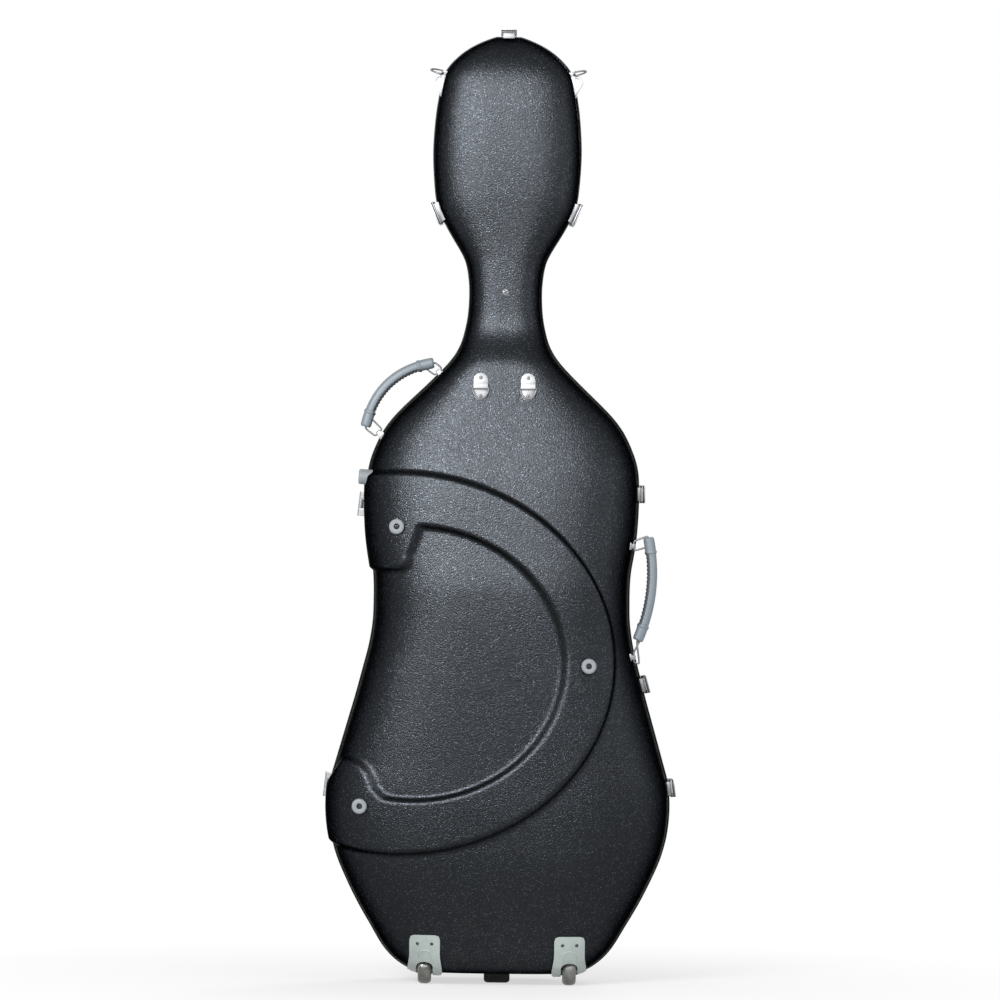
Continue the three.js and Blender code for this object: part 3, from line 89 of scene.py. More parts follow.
# Shares of the way to the next station, in height, half width and depth
STRETCHES = (
    (
        (0, 0, 0),
        (0.0165, 0.09, 0.22),
        (0.0535, 0.2, 0.4),
        (0.128, 0.344, 0.48),
        (0.272, 0.508, 0.6),
        (0.416, 0.664, 0.72),
        (0.564, 0.8, 0.83),
        (0.708, 0.912, 0.92),
        (0.87, 0.982, 0.97),
    ),
    (
        (0, 0, 0),
        (0.102, 0.027, 0.1),
        (0.191, 0.143, 0.2),
        (0.293, 0.286, 0.35),
        (0.404, 0.444, 0.5),
        (0.516, 0.603, 0.65),
        (0.64, 0.763, 0.8),
        (0.78, 0.93, 0.93),
        (0.898, 0.997, 1),
    ),
    ((0, 0, 0), (0.2, 0.083, 0.15), (0.414, 0.5, 0.4), (0.68, 0.86, 0.68)),
    (
        (0, 0, 0),
        (0.166, 0.005, 0.13),
        (0.275, 0.039, 0.25),
        (0.378, 0.104, 0.38),
        (0.482, 0.186, 0.5),
        (0.585, 0.307, 0.62),
        (0.689, 0.472, 0.73),
        (0.793, 0.654, 0.83),
        (0.896, 0.831, 0.92),
    ),
    ((0, 0, 0), (0.159, 0.413, 0.28), (0.327, 0.683, 0.66), (0.495, 0.825, 0.93), (0.7, 0.952, 1)),
    (
        (0, 0, 0),
        (0.214, 0.09, 0.05),
        (0.311, 0.268, 0.15),
        (0.417, 0.509, 0.3),
        (0.524, 0.723, 0.5),
        (0.631, 0.893, 0.7),
        (0.738, 0.946, 0.85),
    ),
    (
        (0, 0, 0),
        (0.3, 0.032, 0.01),
        (0.5, 0.085, 0.04),
        (0.678, 0.151, 0.14),
        (0.772, 0.28, 0.27),
        (0.854, 0.441, 0.44),
        (0.924, 0.645, 0.64),
        (0.971, 0.839, 0.83),
        (1, 1, 1),
    ),
)
# Shares of a closed end of the outline at which it has a row
CAP_SHARES = (0.0, 0.25, 0.5, 0.75)
# Length in mm over which the outline is faired
FAIRING = 9
# Powers of the cosine and the sine that shape a section
SECTION_X_POWER = 2 / 3.3
SECTION_Y_POWER = 2 / 3
# Distance of the edges from the seam
SHELL_EDGE = 2.9
LINING_EDGE = 4.3
# Room for a lining's rolled edge, its reach and its steps, and the gap between lining and shell
LINING_ROLL = 4.0
LIP_REACH = 3.6
LIP_STEPS = 6
LINING_GAP = 0.5
WHEEL_X = 105.6
# The pocket cut out for each wheel: half width, top, end along Y and its gap to the lining
POCKET_HALF = 15.2
POCKET_TOP = 48.0
POCKET_Y = -43.3
POCKET_CLEARANCE = 1.2
# How far beside a wheel and how high up the lining comes in over its pocket
POCKET_REACH = 34
POCKET_RISE = 74

# The raised C: two arcs of ellipses about one height, joined by a lobe below and one above
RELIEF_HEIGHT = 469
RELIEF_OUTER_X = -148
RELIEF_OUTER_HALF = 315
RELIEF_OUTER_TALL = 282
RELIEF_INNER_X = -126
RELIEF_INNER_HALF = 212
RELIEF_INNER_TALL = 195
# Where the outer arc ends, beyond the side wall, and where the inner one meets the lobes
RELIEF_FAR_X = -300
RELIEF_LOW_X = -163
RELIEF_HIGH_X = -114
RELIEF_END_HEIGHT = 596.5
# Start, corner and end of each lobe's corner in x and height
RELIEF_LOW_LOBE = ((-228, 332.5), (-185, 332.5), (-176, 290.5))
RELIEF_HIGH_LOBE = ((-127, 626.5), (-127, 600.5), (-153, 600.5))
# Distance from the seam at which the relief starts, and over which it comes to its full rise
RELIEF_SEAM_GAP = 9
RELIEF_SEAM_FADE = 34

# Rounding of the rims' corners
RIM_ROUNDING = 0.6
# Meeting rims: distance out from the outline and distance from the seam
BACK_RIM_SECTION = (
    (2.2, -9.0),
    (2.2, -0.2),
    (-2.8, -0.2),
    (-2.8, 2.4),
    (-4.8, 2.4),
    (-4.8, -2.4),
    (0.3, -2.4),
    (0.3, -9.0),
)
LID_RIM_SECTION = ((2.2, 9.0), (0.3, 9.0), (0.3, 2.4), (-2.2, 2.4), (-2.2, 0.2), (2.2, 0.2))


class CaseShellSettings(bpy.types.PropertyGroup):
    """Sizes and colour of the moulded shells"""

    wall: FloatProperty(
        name="Wall", description="Room for the shell's wall outside the lining in mm", default=3.5
    )
    relief_rise: FloatProperty(
        name="Relief rise", description="Height of the raised C in mm", default=11.0
    )
    relief_wrap: FloatProperty(
        name="Relief wrap", description="Height of the C at the side wall in mm", default=8.0
    )
    relief_slope: FloatProperty(
        name="Relief slope", description="Width of the sloping edge of the C in mm", default=9.0
    )
    colour: FloatVectorProperty(
        name="Colour",
        description="Colour of the moulded plastic",
        subtype="COLOR",
        default=(0.0195, 0.0214, 0.024),
    )
    fleck_colour: FloatVectorProperty(
        name="Fleck colour",
        description="Colour of the fine flecks in the grain",
        subtype="COLOR",
        default=(0.1, 0.114, 0.132),
    )


class CaseFittingSettings(bpy.types.PropertyGroup):
    """Edges and ribs of the fittings, and colours of handles, wheels, feet and metal"""

    bevel: FloatProperty(
        name="Edge", description="Rounding of the edges of metal fittings in mm", default=0.28
    )
    grip_ribs: IntProperty(name="Grip ribs", description="Number of ribs under each grip", default=17)
    steel_colour: FloatVectorProperty(
        name="Plating",
        description="Colour of the bright plated metal",
        subtype="COLOR",
        default=(0.27, 0.277, 0.286),
    )
    grip_colour: FloatVectorProperty(
        name="Grip colour",
        description="Colour of the carrying grips",
        subtype="COLOR",
        default=(0.2, 0.235, 0.265),
    )
    housing_colour: FloatVectorProperty(
        name="Housing colour",
        description="Colour of the wheel housings",
        subtype="COLOR",
        default=(0.4, 0.46, 0.44),
    )
    foot_colour: FloatVectorProperty(
        name="Foot colour",
        description="Colour of the round rubber feet",
        subtype="COLOR",
        default=(0.245, 0.27, 0.29),
    )


class CasePaddingSettings(bpy.types.PropertyGroup):
    """Sizes and colours of the soft inside"""

    lining: FloatProperty(
        name="Lining", description="Width of the lining's rolled edge in mm", default=8.6
    )
    pile_colour: FloatVectorProperty(
        name="Pile colour",
        description="Colour of the plush lining",
        subtype="COLOR",
        default=(0.085, 0.088, 0.1),
    )
    web_colour: FloatVectorProperty(
        name="Web colour",
        description="Colour of the woven strap",
        subtype="COLOR",
        default=(0.012, 0.012, 0.014),
    )


class CaseStudioSettings(bpy.types.PropertyGroup):
    """Camera, lamps and floor"""

    distance: FloatProperty(
        name="Camera distance",
        description="Distance of the camera from the seam",
        default=10.0,
        unit="LENGTH",
    )
    lens: FloatProperty(name="Lens", description="Focal length in mm", default=244.6)
    roll: FloatProperty(
        name="Roll",
        description="Turn of the camera about its view",
        default=math.radians(0.756),
        unit="ROTATION",
    )
    key_power: FloatProperty(name="Key", description="Power of the main lamp in watts", default=92.0)
    fill_power: FloatProperty(name="Fill", description="Power of the second lamp in watts", default=14.0)
    sheen_power: FloatProperty(
        name="Sheen",
        description="Power in watts of the wide panel that only reflections see",
        default=240.0,
    )
    back_power: FloatProperty(
        name="Back", description="Power of the lamp on the lid's side in watts", default=60.0
    )


def settings(group):
    """One group of the case's settings in the scene."""
    return getattr(bpy.context.scene.cello_case, group)


# Meshes


def cad_mesh(node):
    """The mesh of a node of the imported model."""
    return frame["nodes"][node].data


def add_object(name, data):
    """Links a new object to the scene."""
    made = bpy.data.objects.new(name, data)
    bpy.context.scene.collection.objects.link(made)
    return made


def add_piece(name, mesh, body, kind, replaced=()):
    """Links a mesh as a piece that rides on a body and stands for the given nodes."""
    piece = add_object(name, mesh)
    mesh.materials.clear()
    mesh.materials.append(finish(kind))
    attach(piece, body)
    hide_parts(*replaced)
    return piece


@contextmanager
def edited(source, target=None):
    """Opens a mesh for editing and writes the result back, or into another mesh."""
    built = bmesh.new()
    built.from_mesh(source)
    yield built
    built.to_mesh(target or source)
    built.free()


def mesh_from(name, points, faces, sharp=60):
    """Mesh of points in mm, joined where they meet, facing outwards and smooth but for its edges."""
    mesh = bpy.data.meshes.new(name)
    mesh.from_pydata((np.asarray(points, float) * MM).tolist(), [], faces)
    with edited(mesh) as built:
        bmesh.ops.remove_doubles(built, verts=built.verts, dist=0.01 * MM)
        bmesh.ops.dissolve_degenerate(built, edges=built.edges, dist=0.004 * MM)
        bmesh.ops.recalc_face_normals(built, faces=built.faces)
    smooth(mesh, sharp)
    return mesh


def smooth(mesh, sharp):
    """Shades a mesh smooth but for the edges that are sharper than an angle in degrees."""
    mesh.shade_smooth()
    mesh.set_sharp_from_angle(angle=math.radians(sharp))


def grid_faces(rows, columns, round_columns=True, round_rows=False):
    """Faces between rows of points, closed round the columns or the rows where asked."""
    faces = []
    for i in range(rows if round_rows else rows - 1):
        low = i * columns
        high = ((i + 1) % rows) * columns
        for j in range(columns if round_columns else columns - 1):
            k = (j + 1) % columns
            faces.append((low + j, low + k, high + k, high + j))
    return faces


def closed_tube(name, rings, sharp):
    """Mesh of a row of rings, closed at both ends."""
    count = len(rings[0])
    first, last = ([tuple(np.mean(ring, axis=0))] * count for ring in (rings[0], rings[-1]))
    points = [point for ring in (first, *rings, last) for point in ring]
    return mesh_from(name, points, grid_faces(len(rings) + 2, count), sharp)


def baked(piece):
    """Applies the modifiers of a piece to its mesh."""
    bpy.context.view_layer.update()
    graph = bpy.context.evaluated_depsgraph_get()
    mesh = bpy.data.meshes.new_from_object(piece.evaluated_get(graph))
    old = piece.data
    piece.modifiers.clear()
    piece.data = mesh
    bpy.data.meshes.remove(old)
    mesh.name = piece.name


def carve(piece, low, high):
    """Cuts a box, given by two corners in mm, out of a piece."""
    mesh = bpy.data.meshes.new("cutter")
    size = (Vector(high) - Vector(low)) * MM
    middle = (Vector(high) + Vector(low)) * MM / 2
    with edited(mesh) as built:
        bmesh.ops.create_cube(built, size=1.0, matrix=Matrix.LocRotScale(middle, None, size))
    cutter = add_object("cutter", mesh)
    cut = piece.modifiers.new("Pocket", "BOOLEAN")
    cut.operation = "DIFFERENCE"
    cut.solver = "EXACT"
    cut.object = cutter
    baked(piece)
    bpy.data.objects.remove(cutter)
    bpy.data.meshes.remove(mesh)


def rounded_copy(node, name, body, kind, edge, sharp=35, steps=2):
    """Copy of a node with its edges rounded, which stands for that node."""
    mesh = bpy.data.meshes.new(name)
    with edited(cad_mesh(node), mesh) as built:
        bmesh.ops.remove_doubles(built, verts=built.verts, dist=0.002 * MM)
        flat = math.radians(1.5)
        bmesh.ops.dissolve_limit(built, angle_limit=flat, verts=built.verts, edges=built.edges)
    piece = add_piece(name, mesh, body, kind, [node])
    bevel = piece.modifiers.new("Edges", "BEVEL")
    bevel.width = edge * MM
    bevel.segments = steps
    bevel.limit_method = "ANGLE"
    bevel.angle_limit = math.radians(sharp)
    bevel.miter_outer = "MITER_ARC"
    bevel.use_clamp_overlap = True
    baked(piece)
    smooth(piece.data, sharp)
    return piece


def rounded_section(corners, radius, steps=3):
    """A closed section with each corner turned into a short curve."""
    points = []
    corners = [np.array(corner, float) for corner in corners]
    for i, at in enumerate(corners):
        ends = []
        for other in (corners[i - 1], corners[(i + 1) % len(corners)]):
            way = other - at
            ends.append(at + way * min(radius / np.linalg.norm(way), 0.45))
        for step in range(steps + 1):
            t = step / steps
            points.append((1 - t) ** 2 * ends[0] + 2 * t * (1 - t) * at + t * t * ends[1])
    return np.array(points)


# The outline of the shells


def steady_slopes(places, values):
    """Slopes of a curve through the values that never overshoots them."""
    steps = np.diff(places)
    rises = np.diff(values) / steps
    slopes = np.zeros(len(values))
    for i in range(1, len(values) - 1):
        before, after = rises[i - 1], rises[i]
        if before * after > 0:
            first = 2 * steps[i] + steps[i - 1]
            second = steps[i] + 2 * steps[i - 1]
            slopes[i] = (first + second) / (first / before + second / after)
    slopes[0], slopes[-1] = rises[0], rises[-1]
    return slopes


def steady_curve(places, values, wanted):
    """Values at the wanted places of the curve that never overshoots."""
    slopes = steady_slopes(places, values)
    at = np.clip(np.searchsorted(places, wanted) - 1, 0, len(places) - 2)
    span = places[at + 1] - places[at]
    t = (wanted - places[at]) / span
    return (
        (2 * t**3 - 3 * t**2 + 1) * values[at]
        + (t**3 - 2 * t**2 + t) * span * slopes[at]
        + (3 * t**2 - 2 * t**3) * values[at + 1]
        + (t**3 - t**2) * span * slopes[at + 1]
    )


def run_length(points):
    """Length of the way along points up to each of them."""
    return np.concatenate([[0], np.cumsum(np.linalg.norm(np.diff(points, axis=0), axis=1))])


def fair_outline():
    """Rows of height, half width and the two depths about every millimetre of the outline."""
    rows = []
    for low, high, stretch in zip(STATIONS, STATIONS[1:], STRETCHES):
        for up, across, deep in stretch:
            shares = (up, across, deep, deep)
            rows.append([a + (b - a) * share for a, b, share in zip(low, high, shares)])
    rows = np.array(rows)
    places = run_length(rows[:, [1, 0]])
    wanted = np.linspace(0, places[-1], int(places[-1]))
    fine = np.stack([steady_curve(places, rows[:, i], wanted) for i in range(4)], axis=1)
    reach = 3 * FAIRING
    weights = np.exp(-0.5 * (np.arange(-reach, reach + 1) / FAIRING) ** 2)
    weights /= weights.sum()
    faired = fine.copy()
    for i in range(4):
        column = fine[:, i]
        before = 2 * column[0] - column[reach:0:-1]
        after = 2 * column[-1] - column[-2 : -reach - 2 : -1]
        faired[:, i] = np.convolve(np.concatenate([before, column, after]), weights, "valid")
    return faired


def outline_rows(inset, edge, places):
    """Rows moved in square to the outline, closed below and above, at the given shares of their run."""
    rows = fair_outline()
    along = np.gradient(rows[:, [1, 0]], axis=0)
    along /= np.linalg.norm(along, axis=1)[:, None]
    inner = rows - inset
    inner[:, 1] = rows[:, 1] - inset * along[:, 1]
    inner[:, 0] = rows[:, 0] + inset * along[:, 0]
    kept = inner[(inner[:, 1:].min(axis=1) > edge + 2)]
    first, last = kept[0], kept[-1]

    def cap(row, share):
        """Row of a closed end, at a share of the last full one."""
        height, half, back, lid = row
        return [height, half * share, edge + (back - edge) * share, edge + (lid - edge) * share]

    closed = np.array(
        [cap(first, share) for share in CAP_SHARES]
        + list(kept)
        + [cap(last, share) for share in reversed(CAP_SHARES)]
    )
    run = run_length(closed[:, [1, 0]])
    wanted = np.asarray(places) * run[-1]
    return np.stack([np.interp(wanted, run, closed[:, i]) for i in range(4)], axis=1)


def row_places(fine, coarse, low=165.0, high=780.0):
    """Shares of the outline's run, closer together between two heights."""
    rows = outline_rows(0, SHELL_EDGE, np.linspace(0, 1, 3001))
    run = run_length(rows[:, [1, 0]])
    places = [0.0]
    while places[-1] < run[-1]:
        height = np.interp(places[-1], run, rows[:, 0])
        places.append(places[-1] + (fine if low < height < high else coarse))
    places = np.array(places)
    return np.minimum(places / places[-1], 1)


def section_turns(count, half=190.0, depth=125.0):
    """Angles round a section that lie evenly along a usual one."""
    turns = np.linspace(0, math.pi, 4001)
    x = half * np.sign(np.cos(turns)) * np.abs(np.cos(turns)) ** SECTION_X_POWER
    y = depth * np.sin(turns) ** SECTION_Y_POWER
    run = run_length(np.stack([x, y], axis=1))
    return np.interp(np.linspace(0, run[-1], count), run, turns)


def section_grid(rows, turns, side, edge):
    """Points of one shell's surface in mm: one row of points for each row of the outline."""
    cos, sin = np.cos(turns), np.clip(np.sin(turns), 0, 1)
    across = np.sign(cos) * np.abs(cos) ** SECTION_X_POWER
    deep = sin**SECTION_Y_POWER
    depth = rows[:, 2] if side < 0 else rows[:, 3]
    x = rows[:, 1][:, None] * across[None, :]
    y = side * (edge + (depth - edge)[:, None] * deep[None, :])
    z = np.repeat(rows[:, 0][:, None], len(turns), axis=1)
    return np.stack([x, SEAM_Y + y, z], axis=2)


def filled_body(name, rings):
    """Body whose rings are closed by a flat face, so that it is filled up to the seam."""
    rings = np.array(rings)
    return mesh_from(name, rings.reshape(-1, 3), grid_faces(*rings.shape[:2]))


# The raised C


def arc_points(x, half, tall, start, end, count):
    """Points on an arc of an ellipse in x and height."""
    turns = np.linspace(start, end, count)
    return np.stack([x + half * np.cos(turns), RELIEF_HEIGHT + tall * np.sin(turns)], axis=1)


def corner_points(first, corner, last, count=14):
    """Points on a curve that rounds a corner."""
    t = np.linspace(0, 1, count)[:, None]
    first, corner, last = (np.array(p, float) for p in (first, corner, last))
    return (1 - t) ** 2 * first + 2 * t * (1 - t) * corner + t * t * last


def relief_outline():
    """Outline of the raised C in x and height, from the upper left round to the upper lobe."""
    outer = (RELIEF_OUTER_X, RELIEF_OUTER_HALF, RELIEF_OUTER_TALL)
    inner = (RELIEF_INNER_X, RELIEF_INNER_HALF, RELIEF_INNER_TALL)
    outer_turn = math.acos((RELIEF_FAR_X - RELIEF_OUTER_X) / RELIEF_OUTER_HALF)
    low_turn, high_turn = (
        math.acos((x - RELIEF_INNER_X) / RELIEF_INNER_HALF) for x in (RELIEF_LOW_X, RELIEF_HIGH_X)
    )
    return np.concatenate(
        [
            arc_points(*outer, outer_turn, -outer_turn, 150),
            corner_points(*RELIEF_LOW_LOBE),
            arc_points(*inner, -low_turn, high_turn, 110),
            corner_points(*RELIEF_HIGH_LOBE),
            np.array([[RELIEF_FAR_X, RELIEF_END_HEIGHT]]),
        ]
    )


def inside_distance(points, outline):
    """Distance of points to a closed outline, positive inside it."""
    ends = np.roll(outline, -1, axis=0)
    ways = ends - outline
    lengths = (ways**2).sum(axis=1) + 1e-12
    result = np.empty(len(points))
    for start in range(0, len(points), 4000):
        part = points[start : start + 4000]
        to = part[:, None, :] - outline[None, :, :]
        share = np.clip((to * ways[None]).sum(axis=2) / lengths[None], 0, 1)
        near = to - share[:, :, None] * ways[None]
        distance = np.sqrt((near**2).sum(axis=2).min(axis=1))
        above = (outline[None, :, 1] > part[:, 1:2]) != (ends[None, :, 1] > part[:, 1:2])
        rise = np.where(np.abs(ways[:, 1]) < 1e-9, 1e-9, ways[:, 1])
        cross = outline[:, 0] + (part[:, 1:2] - outline[:, 1]) * ways[:, 0] / rise
        inside = (above & (part[:, 0:1] < cross)).sum(axis=1) % 2 == 1
        result[start : start + 4000] = np.where(inside, distance, -distance)
    return result


def ease(values):
    """Shares that start and end softly."""
    return values * values * (3 - 2 * values)


def raise_relief(points, turns, lead=0.6):
    """Lifts the part of the back surface that lies in the C, from a little outside its outline on."""
    shell = settings("shell")
    distance = inside_distance(points.reshape(-1, 3)[:, [0, 2]], relief_outline())
    slope = np.clip((distance + lead) / (shell.relief_slope + lead), 0, 1)
    share = (0.35 * slope + 0.65 * ease(slope)).reshape(points.shape[:2])
    from_seam = SEAM_Y - points[:, :, 1] - RELIEF_SEAM_GAP
    share *= ease(np.clip(from_seam / RELIEF_SEAM_FADE, 0, 1))
    cos, sin = np.cos(turns), np.clip(np.sin(turns), 0, 1)
    raised = points.copy()
    raised[:, :, 0] += share * shell.relief_wrap * np.sign(cos) * np.abs(cos) ** SECTION_X_POWER
    raised[:, :, 1] -= share * shell.relief_rise * sin**SECTION_Y_POWER
    return raised


# Node groups and materials


def add_node(tree, kind, inputs=(), **options):
    """Adds a node, sets its options, and sets its inputs or links other nodes' sockets into them."""
    node = tree.nodes.new(kind)
    for option, value in options.items():
        setattr(node, option, value)
    for key, source in dict(inputs).items():
        socket = node.inputs[key]
        if isinstance(source, bpy.types.NodeSocket):
            tree.links.new(source, socket)
        elif socket.type == "RGBA":
            socket.default_value = (*source[:3], 1)
        else:
            socket.default_value = source
    return node


def link_all(tree, sockets, sources):
    """Links each source into the socket of its name."""
    for key, source in sources.items():
        tree.links.new(source, sockets[key])


def noise(tree, vector, scale, detail=3.0, roughness=0.55):
    """Noise between 0 and 1."""
    inputs = {"Vector": vector, "Scale": scale, "Detail": detail, "Roughness": roughness}
    return add_node(tree, "ShaderNodeTexNoise", inputs).outputs["Fac"]


def remap(tree, value, low, high, to_low=0.0, to_high=1.0):
    """Stretches the range between two values to another range."""
    ends = {"From Min": low, "From Max": high, "To Min": to_low, "To Max": to_high}
    return add_node(tree, "ShaderNodeMapRange", {"Value": value, **ends}).outputs["Result"]


def calculate(tree, operation, first, second):
    """Result of a maths operation on two numbers or sockets."""
    return add_node(tree, "ShaderNodeMath", {0: first, 1: second}, operation=operation).outputs[0]


def multiply(tree, first, second):
    """Product of two numbers or sockets."""
    return calculate(tree, "MULTIPLY", first, second)


def blend_colours(tree, share, first, second):
    """The first colour with a share of the second over it."""
    inputs = {0: share, 6: first, 7: second}
    return add_node(tree, "ShaderNodeMix", inputs, data_type="RGBA").outputs[2]


def object_place(tree):
    """The object's own coordinates."""
    return tree.nodes.new("ShaderNodeTexCoord").outputs["Object"]


def start_group(name, inputs, outputs):
    """A node group with a vector and the given numbers as inputs and the named numbers as outputs."""
    tree = bpy.data.node_groups.new(name, "ShaderNodeTree")
    tree.interface.new_socket("Vector", in_out="INPUT", socket_type="NodeSocketVector")
    for label, value in inputs.items():
        socket = tree.interface.new_socket(label, in_out="INPUT", socket_type="NodeSocketFloat")
        socket.default_value = value
    for label in outputs:
        tree.interface.new_socket(label, in_out="OUTPUT", socket_type="NodeSocketFloat")
    start, end = tree.nodes.new("NodeGroupInput"), tree.nodes.new("NodeGroupOutput")
    return tree, start.outputs, end.inputs


def grain_group():
    """Moulded grain: fine bumps with scattered flecks, and soft clouds."""
    outputs = ("Height", "Flecks", "Cloud")
    tree, given, results = start_group(
        "Moulded grain", {"Scale": 420.0, "Fleck share": 0.3}, outputs
    )
    vector, scale = given["Vector"], given["Scale"]
    cells = add_node(tree, "ShaderNodeTexVoronoi", {"Vector": vector, "Scale": scale}).outputs
    bumps = noise(tree, vector, scale, 2.0, 0.6)
    height = calculate(tree, "ADD", bumps, multiply(tree, cells["Distance"], -0.6))
    red = add_node(tree, "ShaderNodeSeparateColor", {"Color": cells["Color"]}).outputs["Red"]
    dull = calculate(tree, "SUBTRACT", 1.0, given["Fleck share"])
    lit = remap(tree, calculate(tree, "SUBTRACT", red, dull), 0.0, 0.25)
    flecks = multiply(tree, lit, remap(tree, cells["Distance"], 0.45, 0.15))
    cloud = remap(tree, noise(tree, vector, 9.0, 4.0), 0.3, 0.7)
    link_all(tree, results, {"Height": height, "Flecks": flecks, "Cloud": cloud})
    return tree


def wear_and_sheen_group():
    """Handling marks: soft rubbed patches, fine scratches, and dust that gathers low down, which on the
    shell is also a painted sheen on its lower part.
    """
    outputs = ("Scratch", "Rub", "Dust")
    tree, given, results = start_group("Handling marks", {"Scratches": 0.5}, outputs)
    vector = given["Vector"]
    lines = []
    for turn, stretch in SCRATCH_WAYS:
        inputs = {"Vector": vector, "Rotation": turn, "Scale": stretch}
        placed = add_node(tree, "ShaderNodeMapping", inputs).outputs["Vector"]
        lines.append(remap(tree, noise(tree, placed, 1.0, 1.0), 0.66, 0.72))
    patches = remap(tree, noise(tree, vector, 14.0, 2.0), 0.5, 0.66)
    scratch = multiply(tree, calculate(tree, "MAXIMUM", *lines), patches)
    height = add_node(tree, "ShaderNodeSeparateXYZ", {"Vector": vector}).outputs["Z"]
    specks = remap(tree, noise(tree, vector, 60.0, 5.0, 0.7), 0.45, 0.75)
    made = {
        "Scratch": multiply(tree, scratch, given["Scratches"]),
        "Rub": remap(tree, noise(tree, vector, 6.0, 3.0), 0.35, 0.65),
        # Lighter towards the bottom: dust, which on the shell is also a painted sheen on its lower part
        "Dust": multiply(tree, remap(tree, height, 0.16, 0.01), specks),
    }
    link_all(tree, results, made)
    return tree


def pile_group():
    """Plush pile: tufts and brushed patches."""
    tree, given, results = start_group("Plush pile", {"Scale": 900.0}, ("Height", "Brushed"))
    tufts = noise(tree, given["Vector"], given["Scale"], 3.0, 0.7)
    brushed = remap(tree, noise(tree, given["Vector"], 22.0, 4.0), 0.35, 0.65)
    height = calculate(tree, "ADD", tufts, multiply(tree, brushed, 0.5))
    link_all(tree, results, {"Height": height, "Brushed": brushed})
    return tree


def weave_group():
    """Plain weave of a webbing strap: crossing ribs."""
    tree, given, results = start_group("Webbing weave", {"Scale": 260.0}, ("Height", "Thread"))
    waves = []
    for direction in ("X", "Z"):
        inputs = {"Distortion": 0.4, "Detail": 1.0, "Vector": given["Vector"], "Scale": given["Scale"]}
        wave = add_node(tree, "ShaderNodeTexWave", inputs, bands_direction=direction)
        waves.append(wave.outputs["Fac"])
    thread = multiply(tree, *waves)
    height = calculate(tree, "MAXIMUM", thread, multiply(tree, waves[0], 0.6))
    link_all(tree, results, {"Height": height, "Thread": thread})
    return tree


def placed_group(tree, name, maker, **values):
    """Puts the named group, made once, into a material and feeds it the object's own coordinates."""
    node = tree.nodes.new("ShaderNodeGroup")
    node.node_tree = bpy.data.node_groups.get(name) or maker()
    for key, value in values.items():
        node.inputs[key.replace("_", " ").capitalize()].default_value = value
    tree.links.new(object_place(tree), node.inputs["Vector"])
    return node.outputs


def start_material(name, **plain):
    """A material, its nodes and its Principled shader's sockets, of which plain ones are set by name."""
    material = bpy.data.materials.new(name)
    material.use_nodes = True
    tree = material.node_tree
    sockets = tree.nodes["Principled BSDF"].inputs
    for key, value in plain.items():
        sockets[key.replace("_", " ")].default_value = value
    return material, tree, sockets


def bump(tree, height, strength, distance):
    """Normal of a surface with bumps of a height in mm."""
    inputs = {"Strength": strength, "Distance": distance * MM, "Height": height}
    return add_node(tree, "ShaderNodeBump", inputs).outputs["Normal"]


# Turn and stretch of the two sets of scratches
SCRATCH_WAYS = (
    ((0.3, 0.5, 0.2), (900.0, 900.0, 9.0)),
    ((1.1, 0.2, 1.3), (700.0, 12.0, 700.0)),
)
# Black plastic shines in its own dark colour, without white at its rims
BLACK_PLASTIC = {"Metallic": 1.0, "Specular_Tint": (0, 0, 0, 1)}
SHELL_SCRATCH = (0.05, 0.052, 0.056)
# Lighter colour low on the shell: dust, and a painted sheen on its lower part
SHELL_DUST_AND_SHEEN = (0.06, 0.058, 0.054)
RIM_COLOUR = (0.017, 0.0185, 0.02)
RIM_SCRATCH = (0.06, 0.062, 0.066)
RUBBER_DUST = (0.16, 0.15, 0.135)
BLACK_RUBBER = (0.022, 0.023, 0.025)
CLIP_COLOUR = (0.19, 0.195, 0.2)
TYRE_DARK = (0.12, 0.122, 0.11)
TYRE_LIGHT = (0.3, 0.305, 0.28)
TYRE_SCRATCH = (0.42, 0.42, 0.4)


def moulded_shell():
    """Black moulded plastic whose grain sparkles where the lamp meets it, with a little dust low down that
    is also a painted sheen lightening its lower part.
    """
    shell = settings("shell")
    material, tree, sockets = start_material("moulded_shell", **BLACK_PLASTIC)
    grain = placed_group(tree, "Moulded grain", grain_group, scale=520.0, fleck_share=0.36)
    marks_and_sheen = placed_group(tree, "Handling marks", wear_and_sheen_group, scratches=0.35)
    lit = multiply(tree, grain["Flecks"], remap(tree, grain["Cloud"], 0, 1, 0.7, 1.0))
    colour = blend_colours(tree, lit, shell.colour, shell.fleck_colour)
    colour = blend_colours(tree, marks_and_sheen["Scratch"], colour, SHELL_SCRATCH)
    # Dust low down, partly a painted sheen that lightens the lower part of the shell
    colour = blend_colours(tree, multiply(tree, marks_and_sheen["Dust"], 0.25), colour, SHELL_DUST_AND_SHEEN)
    rough = remap(tree, marks_and_sheen["Rub"], 0, 1, 0.27, 0.33)
    normal = bump(tree, grain["Height"], 0.9, 0.55)
    link_all(tree, sockets, {"Base Color": colour, "Roughness": rough, "Normal": normal})
    return material


def smooth_rim():
    """Smooth black edging with rubbed corners."""
    material, tree, sockets = start_material("smooth_rim", **BLACK_PLASTIC)
    marks_and_sheen = placed_group(tree, "Handling marks", wear_and_sheen_group, scratches=0.8)
    colour = blend_colours(tree, marks_and_sheen["Scratch"], RIM_COLOUR, RIM_SCRATCH)
    rough = remap(tree, marks_and_sheen["Rub"], 0, 1, 0.26, 0.4)
    normal = bump(tree, noise(tree, object_place(tree), 300.0, 2.0), 0.15, 0.1)
    link_all(tree, sockets, {"Base Color": colour, "Roughness": rough, "Normal": normal})
    return material


